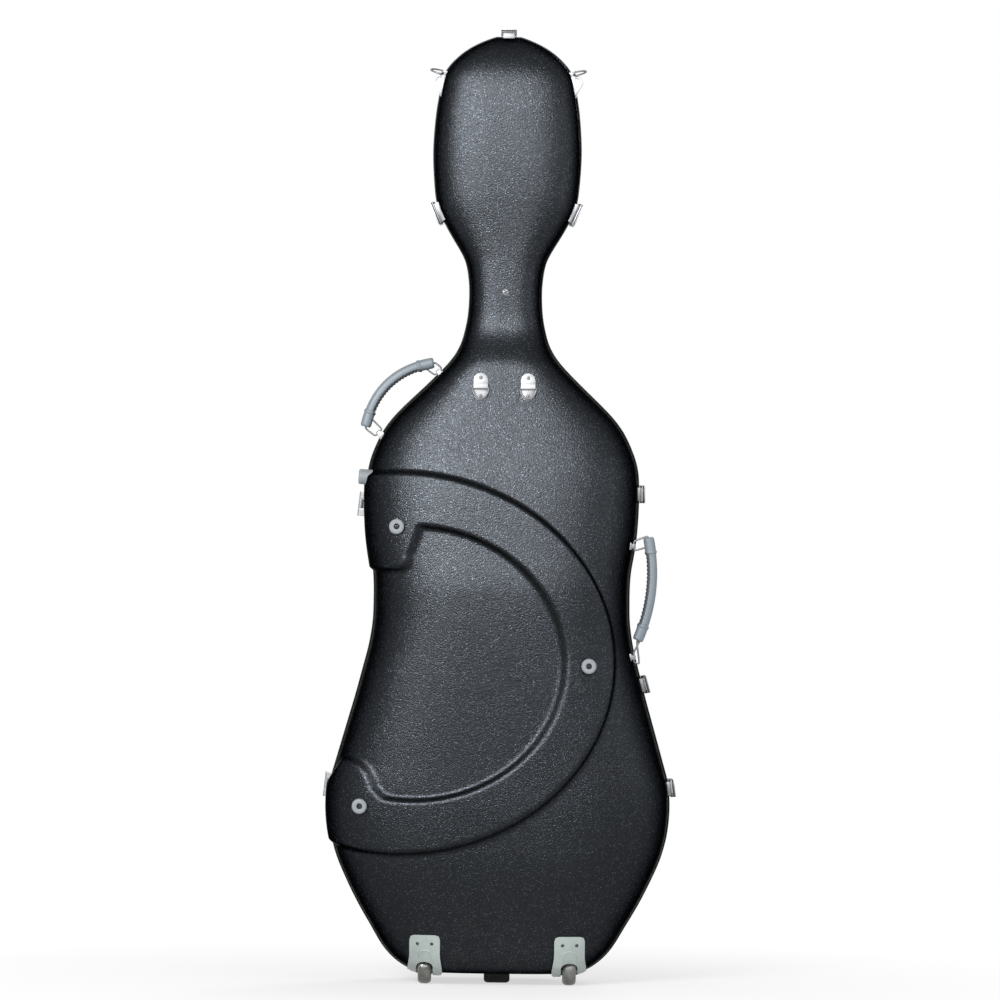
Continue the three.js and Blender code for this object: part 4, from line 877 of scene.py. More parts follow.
def plush(name="plush_pile", lighter=1.0):
    """Dark plush over foam, brushed one way in places."""
    material, tree, sockets = start_material(
        name,
        Roughness=0.95,
        Specular_IOR_Level=0.2,
        Sheen_Weight=0.5,
        Sheen_Roughness=0.4,
        Sheen_Tint=(0.6, 0.62, 0.7, 1),
    )
    pile = placed_group(tree, "Plush pile", pile_group, scale=850.0)
    base = np.array(settings("padding").pile_colour) * lighter
    colour = blend_colours(tree, pile["Brushed"], base * 0.75, base * 1.5)
    normal = bump(tree, pile["Height"], 0.8, 0.8)
    link_all(tree, sockets, {"Base Color": colour, "Normal": normal})
    return material


def woven_web():
    """Black webbing with a visible weave."""
    material, tree, sockets = start_material("woven_web", Sheen_Weight=0.25, Specular_IOR_Level=0.3)
    weave = placed_group(tree, "Webbing weave", weave_group, scale=240.0)
    base = np.array(settings("padding").web_colour)
    colour = blend_colours(tree, weave["Thread"], base * 0.6, base * 2.2)
    rough = remap(tree, weave["Thread"], 0, 1, 0.85, 0.6)
    normal = bump(tree, weave["Height"], 0.9, 0.5)
    link_all(tree, sockets, {"Base Color": colour, "Roughness": rough, "Normal": normal})
    return material


def plated_steel(name="plated_steel", low=0.36, high=0.5, tone=1.0):
    """Bright plated metal with fine rubbing and darker traces where hands touch it."""
    material, tree, sockets = start_material(name, Metallic=0.45, Specular_IOR_Level=0.3)
    marks_and_sheen = placed_group(tree, "Handling marks", wear_and_sheen_group, scratches=0.8)
    base = np.array(settings("fittings").steel_colour) * tone
    colour = blend_colours(tree, marks_and_sheen["Rub"], base, base * 0.86)
    colour = blend_colours(tree, marks_and_sheen["Scratch"], colour, np.minimum(base * 1.25, 1))
    rough = remap(tree, marks_and_sheen["Rub"], 0, 1, low, high)
    normal = bump(tree, noise(tree, object_place(tree), 520.0, 2.0), 0.12, 0.05)
    link_all(tree, sockets, {"Base Color": colour, "Roughness": rough, "Normal": normal})
    return material


def moulded_rubber(name, colour, rough=0.6, spread=0.12, grain=520.0, depth=0.15):
    """Matt moulded rubber or plastic in one colour, with fine grain, marks and dust."""
    material, tree, sockets = start_material(name, Specular_IOR_Level=0.4)
    skin = placed_group(tree, "Moulded grain", grain_group, scale=grain, fleck_share=0.2)
    marks_and_sheen = placed_group(tree, "Handling marks", wear_and_sheen_group, scratches=0.5)
    base = np.array(colour)
    tone = blend_colours(tree, skin["Cloud"], base * 0.9, np.minimum(base * 1.08, 1))
    tone = blend_colours(tree, marks_and_sheen["Scratch"], tone, base * 0.55 + 0.02)
    tone = blend_colours(tree, multiply(tree, marks_and_sheen["Dust"], 0.35), tone, RUBBER_DUST)
    roughness = remap(tree, marks_and_sheen["Rub"], 0, 1, rough - spread, rough + spread)
    normal = bump(tree, skin["Height"], 0.35, depth)
    link_all(tree, sockets, {"Base Color": tone, "Roughness": roughness, "Normal": normal})
    return material


def smoky_tyre():
    """Smoky translucent tyre of a wheel, with clouded depth and scuffs on its tread."""
    material, tree, sockets = start_material(
        "smoky_tyre", Transmission_Weight=0.35, IOR=1.46, Specular_IOR_Level=0.5
    )
    marks_and_sheen = placed_group(tree, "Handling marks", wear_and_sheen_group, scratches=1.0)
    clouds = remap(tree, noise(tree, object_place(tree), 70.0, 4.0), 0.3, 0.7)
    colour = blend_colours(tree, clouds, TYRE_DARK, TYRE_LIGHT)
    colour = blend_colours(tree, marks_and_sheen["Scratch"], colour, TYRE_SCRATCH)
    rough = remap(tree, marks_and_sheen["Rub"], 0, 1, 0.16, 0.36)
    normal = bump(tree, noise(tree, object_place(tree), 240.0, 3.0), 0.2, 0.2)
    link_all(tree, sockets, {"Base Color": colour, "Roughness": rough, "Normal": normal})
    return material


def coloured_rubber(name, key, rough, *more, tone=1.0):
    """Moulded rubber in one of the colours of the fittings."""
    return moulded_rubber(name, np.array(getattr(settings("fittings"), key)) * tone, rough, *more)


FINISHES = {
    "shell": moulded_shell,
    "rim": smooth_rim,
    "lining": plush,
    "cradle": lambda: plush("plush_cradle", 1.25),
    "webbing": woven_web,
    "fitting": plated_steel,
    "wire": lambda: plated_steel("bright_wire", 0.34, 0.46, 0.6),
    # Screws of the housings and feet in darker plating: painted shade that sets them off as a recess
    # would, also in the holes of the feet
    "screw": lambda: plated_steel("dark_screw", 0.25, 0.4, 0.35),
    "grip": lambda: coloured_rubber("grey_grip", "grip_colour", 0.52),
    # The grips' ribbed side towards the case in a darker copy of their colour: painted shade
    "grip_painted_shade": lambda: coloured_rubber("grip_underside", "grip_colour", 0.62, tone=0.32),
    "housing": lambda: coloured_rubber("pale_housing", "housing_colour", 0.46, 0.1, 700.0, 0.1),
    "grey_rubber": lambda: coloured_rubber("grey_rubber", "foot_colour", 0.62),
    "black_rubber": lambda: moulded_rubber("black_rubber", BLACK_RUBBER, 0.7),
    "clip": lambda: moulded_rubber("clip_plastic", CLIP_COLOUR, 0.45),
    "wheel": smoky_tyre,
}
made_finishes = {}


def finish(name):
    """The named material, made when it is first asked for."""
    if name not in made_finishes:
        made_finishes[name] = FINISHES[name]()
    return made_finishes[name]


# Operators: one for each piece or group of like pieces


def shell_mesh(name, side, fine, coarse, columns):
    """One moulded shell, with the raised C on the back, filled up to the seam."""
    turns = section_turns(columns)
    rows = outline_rows(0, SHELL_EDGE, row_places(fine, coarse))
    surface = section_grid(rows, turns, side, SHELL_EDGE)
    if side < 0:
        surface = raise_relief(surface, turns)
    return filled_body(name, surface)


class CASE_OT_back_shell(bpy.types.Operator):
    """Moulds the back shell with its raised C and cuts the pockets of the wheels"""

    bl_idname = "cello_case.back_shell"
    bl_label = "Back shell"
    bl_options = {"REGISTER", "UNDO"}

    def execute(self, context):
        name = "back_shell_moulded"
        piece = add_piece(name, shell_mesh(name, -1, 2.6, 5.0, 181), "case", "shell", ["back_shell"])
        for side in SIDES.values():
            x = side * WHEEL_X
            low = (x - POCKET_HALF, -200, -10)
            carve(piece, low, (x + POCKET_HALF, SEAM_Y + POCKET_Y, POCKET_TOP))
        smooth(piece.data, 60)
        return {"FINISHED"}


class CASE_OT_lid_shell(bpy.types.Operator):
    """Moulds the lid"""

    bl_idname = "cello_case.lid_shell"
    bl_label = "Lid shell"
    bl_options = {"REGISTER", "UNDO"}

    def execute(self, context):
        name = "lid_shell_moulded"
        add_piece(name, shell_mesh(name, 1, 6.0, 6.0, 109), "lid", "shell", ["front_shell"])
        return {"FINISHED"}


def rim_mesh(name, section):
    """Section carried round the outline of the shells in the plane of the seam."""
    rows = fair_outline()[::4]
    right = rows[:, [1, 0]]
    path = np.concatenate([right, right[::-1] * np.array([-1, 1])])
    before = path - np.roll(path, 1, axis=0)
    after = np.roll(path, -1, axis=0) - path
    before /= np.linalg.norm(before, axis=1)[:, None]
    after /= np.linalg.norm(after, axis=1)[:, None]
    out = np.stack([before[:, 1] + after[:, 1], -before[:, 0] - after[:, 0]], axis=1)
    out /= ((out**2).sum(axis=1) / 2)[:, None]
    rings = []
    for (x, height), (out_x, out_z) in zip(path, out):
        rings += [(x + out_x * far, SEAM_Y + y, height + out_z * far) for far, y in section]
    return mesh_from(name, rings, grid_faces(len(path), len(section), True, True), 40)


class CASE_OT_rims(bpy.types.Operator):
    """Sweeps the two meeting rims round the shells"""

    bl_idname = "cello_case.rims"
    bl_label = "Rims"
    bl_options = {"REGISTER", "UNDO"}

    def execute(self, context):
        for name, section, body, node in (
            ("back_rim_band", BACK_RIM_SECTION, "case", "back_rim"),
            ("lid_rim_band", LID_RIM_SECTION, "lid", "front_rim"),
        ):
            mesh = rim_mesh(name, rounded_section(section, RIM_ROUNDING))
            add_piece(name, mesh, body, "rim", [node])
        return {"FINISHED"}


def clear_of_pockets(points):
    """Brings the lining in over the two wheel pockets."""
    moved = points.copy()
    beside = POCKET_REACH - np.abs(np.abs(points[:, :, 0]) - WHEEL_X)
    below = POCKET_RISE - points[:, :, 2]
    near = ease(np.clip(beside / 14, 0, 1)) * ease(np.clip(below / 20, 0, 1))
    inward = np.maximum(points[:, :, 1], SEAM_Y + POCKET_Y + POCKET_CLEARANCE)
    moved[:, :, 1] += near * (inward - points[:, :, 1])
    return moved


def rolled_edge(start, end, side):
    """Points of a rounded lip between the outer and the inner edge of a lining."""
    points = []
    for step in range(1, LIP_STEPS + 1):
        turn = math.pi * (step / (LIP_STEPS + 1))
        point = start + (end - start) * (1 - math.cos(turn)) / 2
        points.append(point - np.array([0, side * LIP_REACH * math.sin(turn), 0]))
    return points


def lining_mesh(name, side, inset, thickness, columns=97, rows=230):
    """Padding that follows the inside of a shell, filled up to its rolled edge at the seam."""
    places = np.linspace(0, 1, rows)
    turns = section_turns(columns)
    edge = LINING_EDGE + LINING_ROLL
    outer = section_grid(outline_rows(inset, edge, places), turns, side, edge)
    inner_rows = outline_rows(inset + thickness, edge, places)
    inner_edges = section_grid(inner_rows, turns[[0, -1]], side, edge)
    if side < 0:
        outer = clear_of_pockets(outer)
    rings = [
        [*row, *rolled_edge(row[-1], last, side), *rolled_edge(first, row[0], side)]
        for row, (first, last) in zip(outer, inner_edges)
    ]
    return filled_body(name, rings)


class CASE_OT_linings(bpy.types.Operator):
    """Pads the inside of both shells"""

    bl_idname = "cello_case.linings"
    bl_label = "Linings"
    bl_options = {"REGISTER", "UNDO"}

    def execute(self, context):
        inset = settings("shell").wall + LINING_GAP
        for name, side, body, node in (
            ("back_lining_plush", -1, "case", "back_lining"),
            ("lid_lining_plush", 1, "lid", "front_lining"),
        ):
            mesh = lining_mesh(name, side, inset, settings("padding").lining)
            piece = add_piece(name, mesh, body, "lining", [node])
        return {"FINISHED"}


# Place and size of each lamp in metres
LAMPS = {
    "key": ((-1.3, -2.9, 1.95), 1.5),
    "sheen": ((-0.6, -3.0, 2.08), 4.4),
    "fill": ((2.6, -1.6, 1.3), 1.2),
    "back": ((1.3, 2.9, 2.1), 1.6),
}
LAMP_AIM = (0, 0, 0.72)
SHEEN_HEIGHT = 1.8
CAMERA_X = -0.0043
CAMERA_HEIGHT = 0.708
# Half side of the floor, and the distances between which it turns white
FLOOR_REACH = 6.0
FLOOR_PALE = 0.3
FLOOR_WHITE = 0.95
# Strength of the world's light on surfaces, where 1 is white
WORLD_LIGHT = 0.42
WHITE = (1, 1, 1, 1)


def plain_sight(tree):
    """1 for what the camera, reflections and clear bodies see, and 0 for light on surfaces."""
    ray = tree.nodes.new("ShaderNodeLightPath").outputs
    seen = calculate(tree, "MAXIMUM", ray["Is Camera Ray"], ray["Is Glossy Ray"])
    return calculate(tree, "MAXIMUM", seen, ray["Is Transmission Ray"])


class CASE_OT_stage(bpy.types.Operator):
    """Sets the camera, the floor, the lamps and the world"""

    bl_idname = "cello_case.stage"
    bl_label = "Stage"
    bl_options = {"REGISTER", "UNDO"}

    def execute(self, context):
        studio = settings("studio")
        self.make_camera(studio)
        self.make_floor()
        for name, (place, size) in LAMPS.items():
            lamp = self.make_lamp(name, place, size, getattr(studio, f"{name}_power"))
            if name == "sheen":
                lamp.data.shape = "ELLIPSE"
                lamp.data.size_y = SHEEN_HEIGHT
                lamp.visible_diffuse = False
        self.make_world()
        bpy.context.scene.view_settings.view_transform = "Standard"
        return {"FINISHED"}

    def make_camera(self, studio):
        """Looks square at the back of the case, with the photo's small roll."""
        data = bpy.data.cameras.new("camera")
        data.lens = studio.lens
        data.sensor_width = 36
        camera = add_object("camera", data)
        right = Vector((math.cos(studio.roll), 0, math.sin(studio.roll)))
        up = Vector((-math.sin(studio.roll), 0, math.cos(studio.roll)))
        turn = Matrix((right, up, Vector((0, -1, 0)))).transposed()
        place = Vector((CAMERA_X, SEAM_Y * MM - studio.distance, CAMERA_HEIGHT))
        camera.matrix_world = Matrix.Translation(place) @ turn.to_4x4()
        bpy.context.scene.camera = camera

    def make_floor(self):
        """Pale floor that keeps the shadow near the case and turns white further off."""
        mesh = bpy.data.meshes.new("floor")
        corners = ((-1, -1), (1, -1), (1, 1), (-1, 1))
        points = [(x * FLOOR_REACH, y * FLOOR_REACH, 0) for x, y in corners]
        mesh.from_pydata(points, [], [(0, 1, 2, 3)])
        material = bpy.data.materials.new("pale_floor")
        material.use_nodes = True
        tree = material.node_tree
        tree.nodes.clear()
        paint = add_node(tree, "ShaderNodeBsdfDiffuse", {"Color": (0.86, 0.86, 0.86)}).outputs[0]
        glow = add_node(tree, "ShaderNodeEmission", {"Color": WHITE, "Strength": 1.0}).outputs[0]
        place = tree.nodes.new("ShaderNodeNewGeometry").outputs["Position"]
        far = add_node(tree, "ShaderNodeVectorMath", {0: place}, operation="LENGTH")
        away = remap(tree, far.outputs["Value"], FLOOR_PALE, FLOOR_WHITE, 0.62, 1.0)
        share = multiply(tree, away, plain_sight(tree))
        mixed = add_node(tree, "ShaderNodeMixShader", {0: share, 1: paint, 2: glow}).outputs[0]
        add_node(tree, "ShaderNodeOutputMaterial", {"Surface": mixed})
        mesh.materials.append(material)
        add_object("floor", mesh)

    def make_lamp(self, name, place, size, power):
        """Round soft lamp that looks at the middle of the case."""
        data = bpy.data.lights.new(name, "AREA")
        data.shape = "DISK"
        data.size = size
        data.energy = power
        lamp = add_object(name, data)
        lamp.location = place
        aim = Vector(LAMP_AIM) - Vector(place)
        lamp.rotation_euler = aim.to_track_quat("-Z", "Y").to_euler()
        return lamp

    def make_world(self):
        """White surroundings that light surfaces at a lower strength than they show."""
        world = bpy.data.worlds.new("studio")
        bpy.context.scene.world = world
        world.use_nodes = True
        tree = world.node_tree
        tree.nodes.clear()
        strength = remap(tree, plain_sight(tree), 0, 1, WORLD_LIGHT, 1.0)
        light = add_node(tree, "ShaderNodeBackground", {"Color": WHITE, "Strength": strength})
        add_node(tree, "ShaderNodeOutputWorld", {"Surface": light.outputs[0]})


# Small parts


def turned_mesh(name, profile, steps=48, sharp=35):
    """Body turned round its own Z axis from pairs of radius and height."""
    rings = []
    for step in range(steps):
        turn = 2 * math.pi * step / steps
        rings += [(r * math.cos(turn), r * math.sin(turn), h) for r, h in profile]
    return mesh_from(name, rings, grid_faces(steps, len(profile), False, True), sharp)


def moved_mesh(mesh, place, direction, spin=0.0):
    """Turns a mesh so that its Z axis points along the direction, and sets it at a place in mm."""
    turn = Vector(direction).to_track_quat("Z", "Y").to_matrix().to_4x4()
    turn = turn @ Matrix.Rotation(spin, 4, "Z")
    mesh.transform(Matrix.Translation(Vector(place) * MM) @ turn)
    return mesh


def joined_mesh(name, meshes, sharp=35):
    """One mesh made of several."""
    built = bmesh.new()
    for mesh in meshes:
        built.from_mesh(mesh)
        bpy.data.meshes.remove(mesh)
    joined = bpy.data.meshes.new(name)
    built.to_mesh(joined)
    built.free()
    smooth(joined, sharp)
    return joined


# Shares of a screw's radius: dome, rim, half width and length of the cross's arms, and shank
SCREW_DOME = 0.42
SCREW_RIM = 0.1
CROSS_HALF = 0.13
CROSS_REACH = 0.62
SCREW_SHANK = 0.6
# A place well behind the case, from which faces of the back view are looked for
BEHIND_Y = -300


def screw_mesh(radius, place, direction, spin):
    """Domed screw head with a cross recess."""
    rings, steps = 9, 40
    points = []
    for step in range(steps):
        turn = 2 * math.pi * step / steps
        for ring in range(rings + 1):
            r = radius * ring / rings
            height = SCREW_DOME * radius * (1 - (ring / rings) ** 2) ** 0.5 + SCREW_RIM * radius
            x, y = r * math.cos(turn), r * math.sin(turn)
            arm = min(abs(x), abs(y)) / radius
            if arm < CROSS_HALF and r < CROSS_REACH * radius:
                height -= SCREW_DOME * radius * (1 - (arm / CROSS_HALF) ** 2)
            points.append((x, y, height))
        points.append((radius * math.cos(turn), radius * math.sin(turn), 0))
        points.append((0, 0, -SCREW_SHANK * radius))
    mesh = mesh_from("screw", points, grid_faces(steps, rings + 3, False, True), 40)
    return moved_mesh(mesh, place, direction, spin)


def screws(name, body, places, radius, kind="fitting"):
    """Screws of one body: pairs of a place in mm and the direction in which each head looks."""
    heads = [
        screw_mesh(radius, place, direction, 0.5 + 0.8 * i)
        for i, (place, direction) in enumerate(places)
    ]
    return add_piece(name, joined_mesh(name, heads, 40), body, kind)


def facing(node, direction, share=0.97, depth=1.2):
    """Middle and direction of a node's outermost faces that look a given way."""
    mesh = cad_mesh(node)
    towards = Vector(direction)
    faces = [f for f in mesh.polygons if f.normal.dot(towards) > share]
    outermost = max(f.center.dot(towards) for f in faces)
    faces = [f for f in faces if f.center.dot(towards) > outermost - depth * MM]
    area = sum(f.area for f in faces)
    middle = sum((f.center * f.area for f in faces), Vector()) / area
    normal = sum((f.normal * f.area for f in faces), Vector()).normalized()
    return middle / MM, normal


def surface_tree(mesh):
    """What finds the faces of a mesh along a line."""
    return BVHTree.FromPolygons([v.co for v in mesh.vertices], [f.vertices for f in mesh.polygons])


def on_surface(mesh, start, direction):
    """Place in mm and direction of the first face that a line through a mesh meets."""
    place, normal, _, _ = surface_tree(mesh).ray_cast(Vector(start) * MM, Vector(direction))
    if place is None:
        raise RuntimeError(f"{mesh.name} has no face under {tuple(round(c) for c in start)}")
    return place / MM, normal


def from_behind(mesh, x, height):
    """Place and direction of the face that the back view shows at a point."""
    return on_surface(mesh, (x, BEHIND_Y, height), (0, 1, 0))


def lift_over(piece, shell, out, clearance, cell=2.5, most=4.0):
    """Cuts a plate into small cells and bends its outer face over the shell where that stands higher."""
    tree = surface_tree(shell)
    step = cell * MM
    with edited(piece.data) as built:
        for axis in [a for a in range(3) if abs(out[a]) < 0.5]:
            reach = [v.co[axis] for v in built.verts]
            normal = Vector([float(a == axis) for a in range(3)])
            for cut in np.arange(min(reach) + step, max(reach) - 0.2 * step, step):
                geometry = built.verts[:] + built.edges[:] + built.faces[:]
                bmesh.ops.bisect_plane(built, geom=geometry, plane_co=normal * cut, plane_no=normal)
        built.normal_update()
        for vertex in [v for v in built.verts if v.normal.dot(out) >= 0.25]:
            start = vertex.co + out * (1.0 - vertex.co.dot(out))
            place = tree.ray_cast(start, -out)[0]
            if place is not None:
                lift = place.dot(out) + clearance * MM - vertex.co.dot(out)
                vertex.co += out * min(max(lift, 0), most * MM)
    smooth(piece.data, 35)


# The tyre's size, and the radius at which its flank turns into the tread
TYRE_RADIUS = 21.4
TYRE_HALF = 9.9
TREAD_START = 15.4
# Its flank from the bore outwards, in radius and distance from its middle
TYRE_FLANK = ((2.9, 8.6), (4.2, 9.4), (7.0, 9.5), (8.0, 8.4), (12.4, 7.4), (13.6, 8.6))
WHEEL_Y = -48.5
WHEEL_HEIGHT = 21.5
# A housing's screws
HOUSING_SCREW_X = 10.4
HOUSING_SCREW_HEIGHT = 60.5
HOUSING_SCREW_RADIUS = 2.5
# The bead over a housing's arch: half span, heights of its legs, start and rise of its bow
BEAD_HALF = 9.6
BEAD_LEGS = (33.0, 37.0)
BEAD_SPRING = 41.5
BEAD_RISE = 9.0


class CASE_OT_wheels(bpy.types.Operator):
    """Makes the wheel housings with their ridge and screws, and turns the wheels"""

    bl_idname = "cello_case.wheels"
    bl_label = "Wheels"
    bl_options = {"REGISTER", "UNDO"}

    def execute(self, context):
        profile = self.tyre_profile()
        for label, sign in SIDES.items():
            x, name = sign * WHEEL_X, f"wheel_{label}"
            tyre = turned_mesh("wheel", profile, 72, 30)
            moved_mesh(tyre, (x, WHEEL_Y, WHEEL_HEIGHT), (1, 0, 0))
            add_piece(f"{name}_tyre", tyre, name, "wheel", [name])
            self.make_housing(f"wheel_housing_{label}", x)
        return {"FINISHED"}

    def tyre_profile(self):
        """Closed section of a tyre in radius and distance from its middle."""
        crown = []
        for step in range(15):
            turn = math.pi / 2 * step / 14
            radius = TREAD_START + (TYRE_RADIUS - TREAD_START) * math.sin(turn) ** 0.9
            crown.append((radius, TYRE_HALF * math.cos(turn) ** 0.75))
        side = [*TYRE_FLANK, *crown]
        return [*side, *((r, -w) for r, w in reversed(side[:-1])), side[0]]

    def make_housing(self, node, middle):
        """Rounds a housing and sets its screws and the bead over its arch on its outer face."""
        rounded_copy(node, f"{node}_moulded", "case", "housing", 1.1, 30, 4)
        face = cad_mesh(node)
        across = (-HOUSING_SCREW_X, HOUSING_SCREW_X)
        spots = [from_behind(face, middle + x, HOUSING_SCREW_HEIGHT) for x in across]
        screws(f"{node}_screws", "case", spots, HOUSING_SCREW_RADIUS, "screw")
        path = [(BEAD_HALF, height) for height in BEAD_LEGS]
        for step in range(25):
            turn = math.pi * (step / 24)
            height = BEAD_SPRING + BEAD_RISE * math.sin(turn) ** 0.8
            path.append((BEAD_HALF * math.cos(turn), height))
        path += [(-BEAD_HALF, height) for height in reversed(BEAD_LEGS)]
        places = [from_behind(face, middle + x, height) for x, height in path]
        ridge = ridge_mesh(f"{node}_ridge", places, 1.2, 0.6)
        add_piece(f"{node}_ridge", ridge, "case", "housing")


def ridge_mesh(name, places, half, rise):
    """Low rounded bead along places on a surface, each with the surface's direction."""
    rings = []
    for i, (place, normal) in enumerate(places):
        before, after = places[max(i - 1, 0)][0], places[min(i + 1, len(places) - 1)][0]
        across = (after - before).normalized().cross(normal).normalized()
        size = 0.35 if i in (0, len(places) - 1) else 1.0
        ring = []
        for step in range(10):
            turn = 2 * math.pi * step / 10
            offset = across * math.cos(turn) * half * size + normal * (math.sin(turn) * rise * size)
            ring.append(tuple(place + offset))
        rings.append(ring)
    return closed_tube(name, rings, 60)


# Where the round feet look
ROUND_FEET = {
    "back_foot_upper": (0, -1, 0),
    "back_foot_middle": (0, -1, 0),
    "back_foot_lower": (0, -1, 0),
    "side_foot": (-1, 0, 0),
}
# Section of a round foot in radius and height: flank, middle and radii of its edge, and hole
FOOT_HEIGHT = 12.0
FOOT_FLANK = ((0, -8.0), (11.2, -8.0), (11.0, 8.0))
FOOT_EDGE = (8.4, 9.0)
FOOT_EDGE_RADII = (2.6, 3.0)
FOOT_HOLE = ((5.0, FOOT_HEIGHT), (4.5, 11.8), (4.2, 11.3), (4.15, 5.5), (0, 5.5))
FOOT_SCREW_HEIGHT = 6.0
FOOT_SCREW_RADIUS = 3.7


class CASE_OT_feet(bpy.types.Operator):
    """Turns the round rubber feet with their sunk screws and rounds the two standing feet"""

    bl_idname = "cello_case.feet"
    bl_label = "Feet"
    bl_options = {"REGISTER", "UNDO"}

    def execute(self, context):
        profile = list(FOOT_FLANK)
        for step in range(7):
            turn = math.pi / 2 * step / 6
            radius = FOOT_EDGE[0] + FOOT_EDGE_RADII[0] * math.cos(turn)
            profile.append((radius, FOOT_EDGE[1] + FOOT_EDGE_RADII[1] * math.sin(turn)))
        profile += FOOT_HOLE
        for node, direction in ROUND_FEET.items():
            middle, normal = facing(node, direction)
            place = middle - normal * FOOT_HEIGHT
            foot = moved_mesh(turned_mesh(node, profile), place, normal)
            add_piece(f"{node}_rubber", foot, "case", "grey_rubber", [node])
            head = place + normal * FOOT_SCREW_HEIGHT
            screws(f"{node}_screw", "case", [(head, normal)], FOOT_SCREW_RADIUS, "screw")
        for node, body in (("base_foot", "case"), ("lid_foot", "lid")):
            rounded_copy(node, f"{node}_rubber", body, "black_rubber", 0.9, 25, 3)
        return {"FINISHED"}


def body_of(node):
    """The body that carries a node."""
    return frame["nodes"][node]["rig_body"]


# The shell under each leaf of a hinge, and the leaf's body
LEAVES = {"back": ("back_shell_moulded", "case"), "lid": ("lid_shell_moulded", "lid")}
LEAF_CLEARANCE = 1.5
LEAF_SCREW_RADIUS = 2.6
# Places of a leaf's screws: shares of the way from its far edge to the knuckle, and of its height
LEAF_SCREWS = ((0.3, 0.24), (0.3, 0.76), (0.5, 0.5))
# The screws of a strap plate in x and height, and the screw at the neck
PLATE_SCREW_X = 34.6
PLATE_SCREW_HEIGHTS = (873 + 13.2, 873 - 13.4)
PLATE_SCREW_RADIUS = 2.9
NECK_SCREW_HEIGHT = 1012
NECK_SCREW_RADIUS = 5.2


class CASE_OT_metalwork(bpy.types.Operator):
    """Rounds the edges of latches, hinges, eyes, plates and brackets, and puts in their screws"""

    bl_idname = "cello_case.metalwork"
    bl_label = "Metalwork"
    bl_options = {"REGISTER", "UNDO"}

    def execute(self, context):
        edge = settings("fittings").bevel
        leaves = [(f"hinge_{leaf}_leaf_{end}", leaf) for leaf in LEAVES for end in ENDS]
        nodes = [f"latch_{part}_{name}" for name in LATCHES for part in ("base", "lever", "keeper")]
        nodes += [node for node, _ in leaves]
        nodes += [f"handle_eye_{side}_{end}" for side in SIDES for end in ENDS]
        nodes += [f"{part}_{side}" for part in ("strap_plate", "head_bracket") for side in SIDES]
        plates = {n: rounded_copy(n, f"{n}_plated", body_of(n), "fitting", edge) for n in nodes}
        for node, leaf in leaves:
            shell, body = LEAVES[leaf]
            plate = plates[node]
            lift_over(plate, bpy.data.objects[shell].data, Vector((-1, 0, 0)), LEAF_CLEARANCE)
            screws(f"{node}_screws", body, self.leaf_places(plate.data, leaf), LEAF_SCREW_RADIUS)
        for side, sign in SIDES.items():
            plate, x = cad_mesh(f"strap_plate_{side}"), sign * PLATE_SCREW_X
            spots = [from_behind(plate, x, height) for height in PLATE_SCREW_HEIGHTS]
            screws(f"strap_plate_{side}_screws", "case", spots, PLATE_SCREW_RADIUS)
        back = bpy.data.objects["back_shell_moulded"].data
        spots = [from_behind(back, 0, NECK_SCREW_HEIGHT)]
        screws("neck_screw", "case", spots, NECK_SCREW_RADIUS)
        return {"FINISHED"}

    def leaf_places(self, mesh, leaf):
        """Three places on a leaf's outer face, beside the knuckle."""
        low, high = (
            [end(v.co[axis] for v in mesh.vertices) / MM for axis in range(3)] for end in (min, max)
        )
        far, near = (low[1], high[1]) if leaf == "back" else (high[1], low[1])
        places = []
        for along, up in LEAF_SCREWS:
            start = (-500, far + (near - far) * along, low[2] + (high[2] - low[2]) * up)
            places.append(on_surface(mesh, start, (1, 0, 0)))
        return places


class CASE_OT_wires(bpy.types.Operator):
    """Rounds the wire of the loops and D-rings"""

    bl_idname = "cello_case.wires"
    bl_label = "Wires and rings"
    bl_options = {"REGISTER", "UNDO"}

    def execute(self, context):
        nodes = [f"grip_loop_{side}_{end}" for side in SIDES for end in ENDS]
        nodes += [f"{part}_{side}" for part in ("strap_ring", "head_ring") for side in SIDES]
        for node in nodes:
            mesh = cad_mesh(node).copy()
            mesh.name = f"{node}_wire"
            piece = add_piece(f"{node}_wire", mesh, body_of(node), "wire", [node])
            weld = piece.modifiers.new("Weld", "WELD")
            weld.merge_threshold = 0.002 * MM
            baked(piece)
            round_wire(piece)
            smooth(piece.data, 80)
        return {"FINISHED"}


def round_wire(piece, swell=0.17):
    """Smooths a six-sided wire twice and gives it back the thickness that this takes away."""
    with edited(piece.data) as built:
        bmesh.ops.join_triangles(
            built,
            faces=built.faces,
            angle_face_threshold=math.radians(12),
            angle_shape_threshold=math.radians(60),
        )
    finer = piece.modifiers.new("Rounding", "SUBSURF")
    finer.levels = finer.render_levels = 2
    baked(piece)
    mesh = piece.data
    for vertex, normal in zip(mesh.vertices, [v.normal.copy() for v in mesh.vertices]):
        vertex.co += normal * (swell * MM)


# Ends and bow of each grip in x and height, its place along Y and its side
GRIPS = {
    "left": ((-203.0, 813.0), (-185.4, 893.7), (-104.0, 908.0), -9.0, -1),
    "right": ((199.5, 505.0), (230.4, 578.3), (213.5, 656.0), -37.0, 1),
}
# Half thickness and half width of a grip, and the depth of its ribs
GRIP_THICK = 8.0
GRIP_WIDE = 9.5
RIB_DEPTH = 0.9
# Shares of a grip's length: start and width of a collar, and the end of the smooth part
COLLAR_START = 0.125
COLLAR_WIDTH = 0.03
RIBS_START = 0.17


